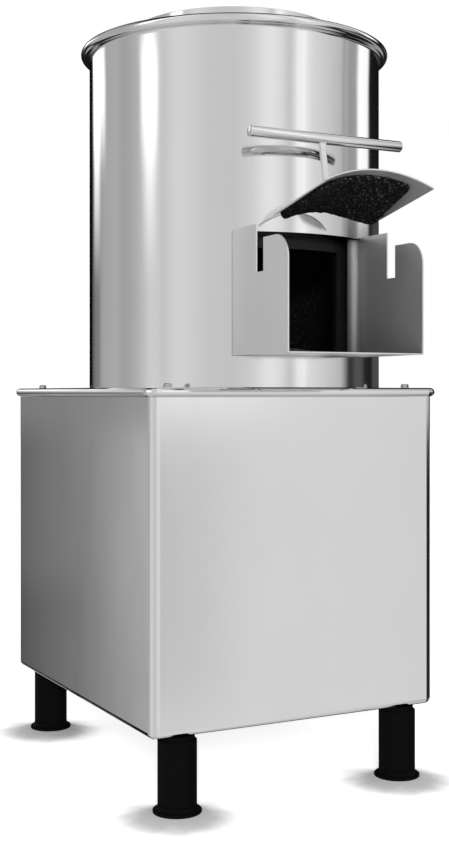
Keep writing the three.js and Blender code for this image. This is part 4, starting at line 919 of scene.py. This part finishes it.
# Light panels: azimuth, half width, soft edge, strength below and above a band of elevations, and that
# band. A negative strength takes light away, from a panel beyond its own band or from the wall.
STUDIO_PANELS = [
    (-165.5, 7, 4, 0.0, 1.0, 4, 11),
    (-162, 13.5, 3, 0.0, 0.9, 9, 13),
    (-96, 5, 4, 0.0, 0.45, 4, 11),
    (-96.5, 8, 2.5, 0.0, 0.6, 9, 13),
    (26, 7, 5, 0.0, 0.15, -2, 3),
    (24.5, 4.2, 1.8, 0.0, 0.18, -2.2, -0.2),
    (22, 5, 1.5, 0.12, 0.0, -15, -12),
    (22, 5, 1.5, 0.0, 0.07, -4, -1.5),
    (-165, 6.5, 1, -0.045, 0.0, -9.5, -7),
    (-150, 7.5, 1, -0.07, 0.0, -13, -8),
    (75, 7, 3, 0.0, 0.33, 5, 10),
    (93, 9.5, 3.5, 0.0, 1.15, 5, 10),
    (86, 7, 4, 0.0, 0.06, -3, -1),
    (125, 14, 6, 0.0, 0.07, -3, -1),
    (125, 14, 6, 0.0, -0.07, 6, 10),
    (101, 41, 5, 0.36, 0.0, -17, -14),
    (101, 41, 5, -0.36, 0.0, -29, -23),
    (176, 6, 3, 0.38, 0.0, -18, -15),
    (176, 6, 3, -0.38, 0.0, -27, -22),
    (-175, 6, 3, 0.38, 0.0, -18, -15),
    (-175, 6, 3, -0.38, 0.0, -27, -22),
    (-165.5, 7, 4, 0.0, -1.0, 17, 23),
    (-162, 13.5, 3, 0.0, -0.9, 17, 23),
]
FLOOR_LIGHT = 0.6
FLOOR_BELOW = (-52, -42)
CEILING_LIGHT = 0.4
CEILING_ABOVE = (64, 76)
CEILING_FRONT = (70, 80)
CEILING_BACK = (35, 60)
CEILING_SHARE = 0.06
EYE_LEVEL = (-2.5, -0.5)
BACK_AZIMUTH = (95.0, 125.0)
# What rays see that are neither camera, transmission nor glossy rays
AMBIENT = 0.38

world = bpy.data.worlds.new("studio")
bpy.context.scene.world = world
world.use_nodes = True
kit = Nodes(world.node_tree)
world.node_tree.nodes.clear()
direction = kit.add("ShaderNodeSeparateXYZ")
kit.feed(direction.inputs[0], kit.add("ShaderNodeTexCoord").outputs["Generated"])
back = kit.math("MULTIPLY", direction.outputs["Y"], -1.0)
azimuth = kit.math("DEGREES", kit.math("ARCTAN2", direction.outputs["X"], back))
elevation = kit.math("DEGREES", kit.math("ARCSINE", direction.outputs["Z"]))


def wall_light(stops):
    round_share = kit.math("DIVIDE", kit.math("ADD", azimuth, 180.0), 360.0)
    grey = kit.add("ShaderNodeRGBToBW")
    kit.feed(grey.inputs[0], kit.ramp(round_share, [((a + 180) / 360, v) for a, v in stops]))
    return grey.outputs[0]


def blend(share, a, b):
    node = kit.add("ShaderNodeMix", data_type="FLOAT")
    for key, value in (("Factor", share), ("A", a), ("B", b)):
        kit.feed(node.inputs[key], value)
    return node.outputs[0]


total = blend(kit.step(elevation, *EYE_LEVEL), wall_light(LOW_WALLS), wall_light(STUDIO_WALLS))
for centre, half, soft, below, above, low_e, high_e in STUDIO_PANELS:
    rise = kit.step(azimuth, centre - half - soft, centre - half + soft)
    fall = kit.step(azimuth, centre + half - soft, centre + half + soft, 1.0, 0.0)
    on = kit.step(elevation, low_e, high_e, below, above)
    total = kit.math("ADD", total, kit.math("MULTIPLY", kit.math("MULTIPLY", rise, fall), on))
total = kit.math("MAXIMUM", total, 0.0)
total = blend(kit.step(elevation, *FLOOR_BELOW), FLOOR_LIGHT, total)
behind = kit.step(kit.math("ABSOLUTE", azimuth), *BACK_AZIMUTH)
open_front = kit.step(elevation, *CEILING_FRONT, 1.0, CEILING_SHARE)
open_back = kit.step(elevation, *CEILING_BACK, 1.0, CEILING_SHARE)
total = kit.math("MULTIPLY", total, blend(behind, open_front, open_back))
total = kit.math("MAXIMUM", total, kit.step(elevation, *CEILING_ABOVE, 0.0, CEILING_LIGHT))
light_path = kit.add("ShaderNodeLightPath")
camera_ray, clear_ray = light_path.outputs["Is Camera Ray"], light_path.outputs["Is Transmission Ray"]
seen = kit.math("ADD", camera_ray, clear_ray, clamp=True)
final = blend(seen, blend(light_path.outputs["Is Glossy Ray"], AMBIENT, total), 1.0)
background = kit.add("ShaderNodeBackground")
background.inputs["Color"].default_value = (1, 1, 1, 1)
kit.feed(background.inputs["Strength"], final)
kit.feed(kit.add("ShaderNodeOutputWorld").inputs["Surface"], background.outputs[0])


def area_light(name, spot, target, size, watts):
    lamp = bpy.data.lights.new(name, "AREA")
    lamp.size = size
    lamp.energy = watts
    obj = bpy.data.objects.new(name, lamp)
    obj.location = spot
    obj.rotation_euler = (Vector(target) - Vector(spot)).to_track_quat("-Z", "Y").to_euler()
    obj.visible_glossy = False
    bpy.context.scene.collection.objects.link(obj)


area_light("key", (-1.6, -2.6, 3.2), (0, 0, 0.4), 2.6, 45)
area_light("top", (0.3, 0.2, 3.6), (0, 0, 0.4), 3.0, 30)
area_light("low", (-1.75, -3.7, 1.32), (0, 0, 0.0), 0.5, 180)

camera = bpy.data.cameras.new("camera")
camera.lens = CAMERA_LENS
camera.shift_x, camera.shift_y = CAMERA_SHIFT
camera_object = bpy.data.objects.new("camera", camera)
camera_object.location = place(*CAMERA_PLACE)
camera_object.rotation_euler = Euler((math.radians(90), 0, math.radians(-CAMERA_YAW)))
bpy.context.scene.collection.objects.link(camera_object)
bpy.context.scene.camera = camera_object
bpy.context.scene.view_settings.view_transform = "Standard"
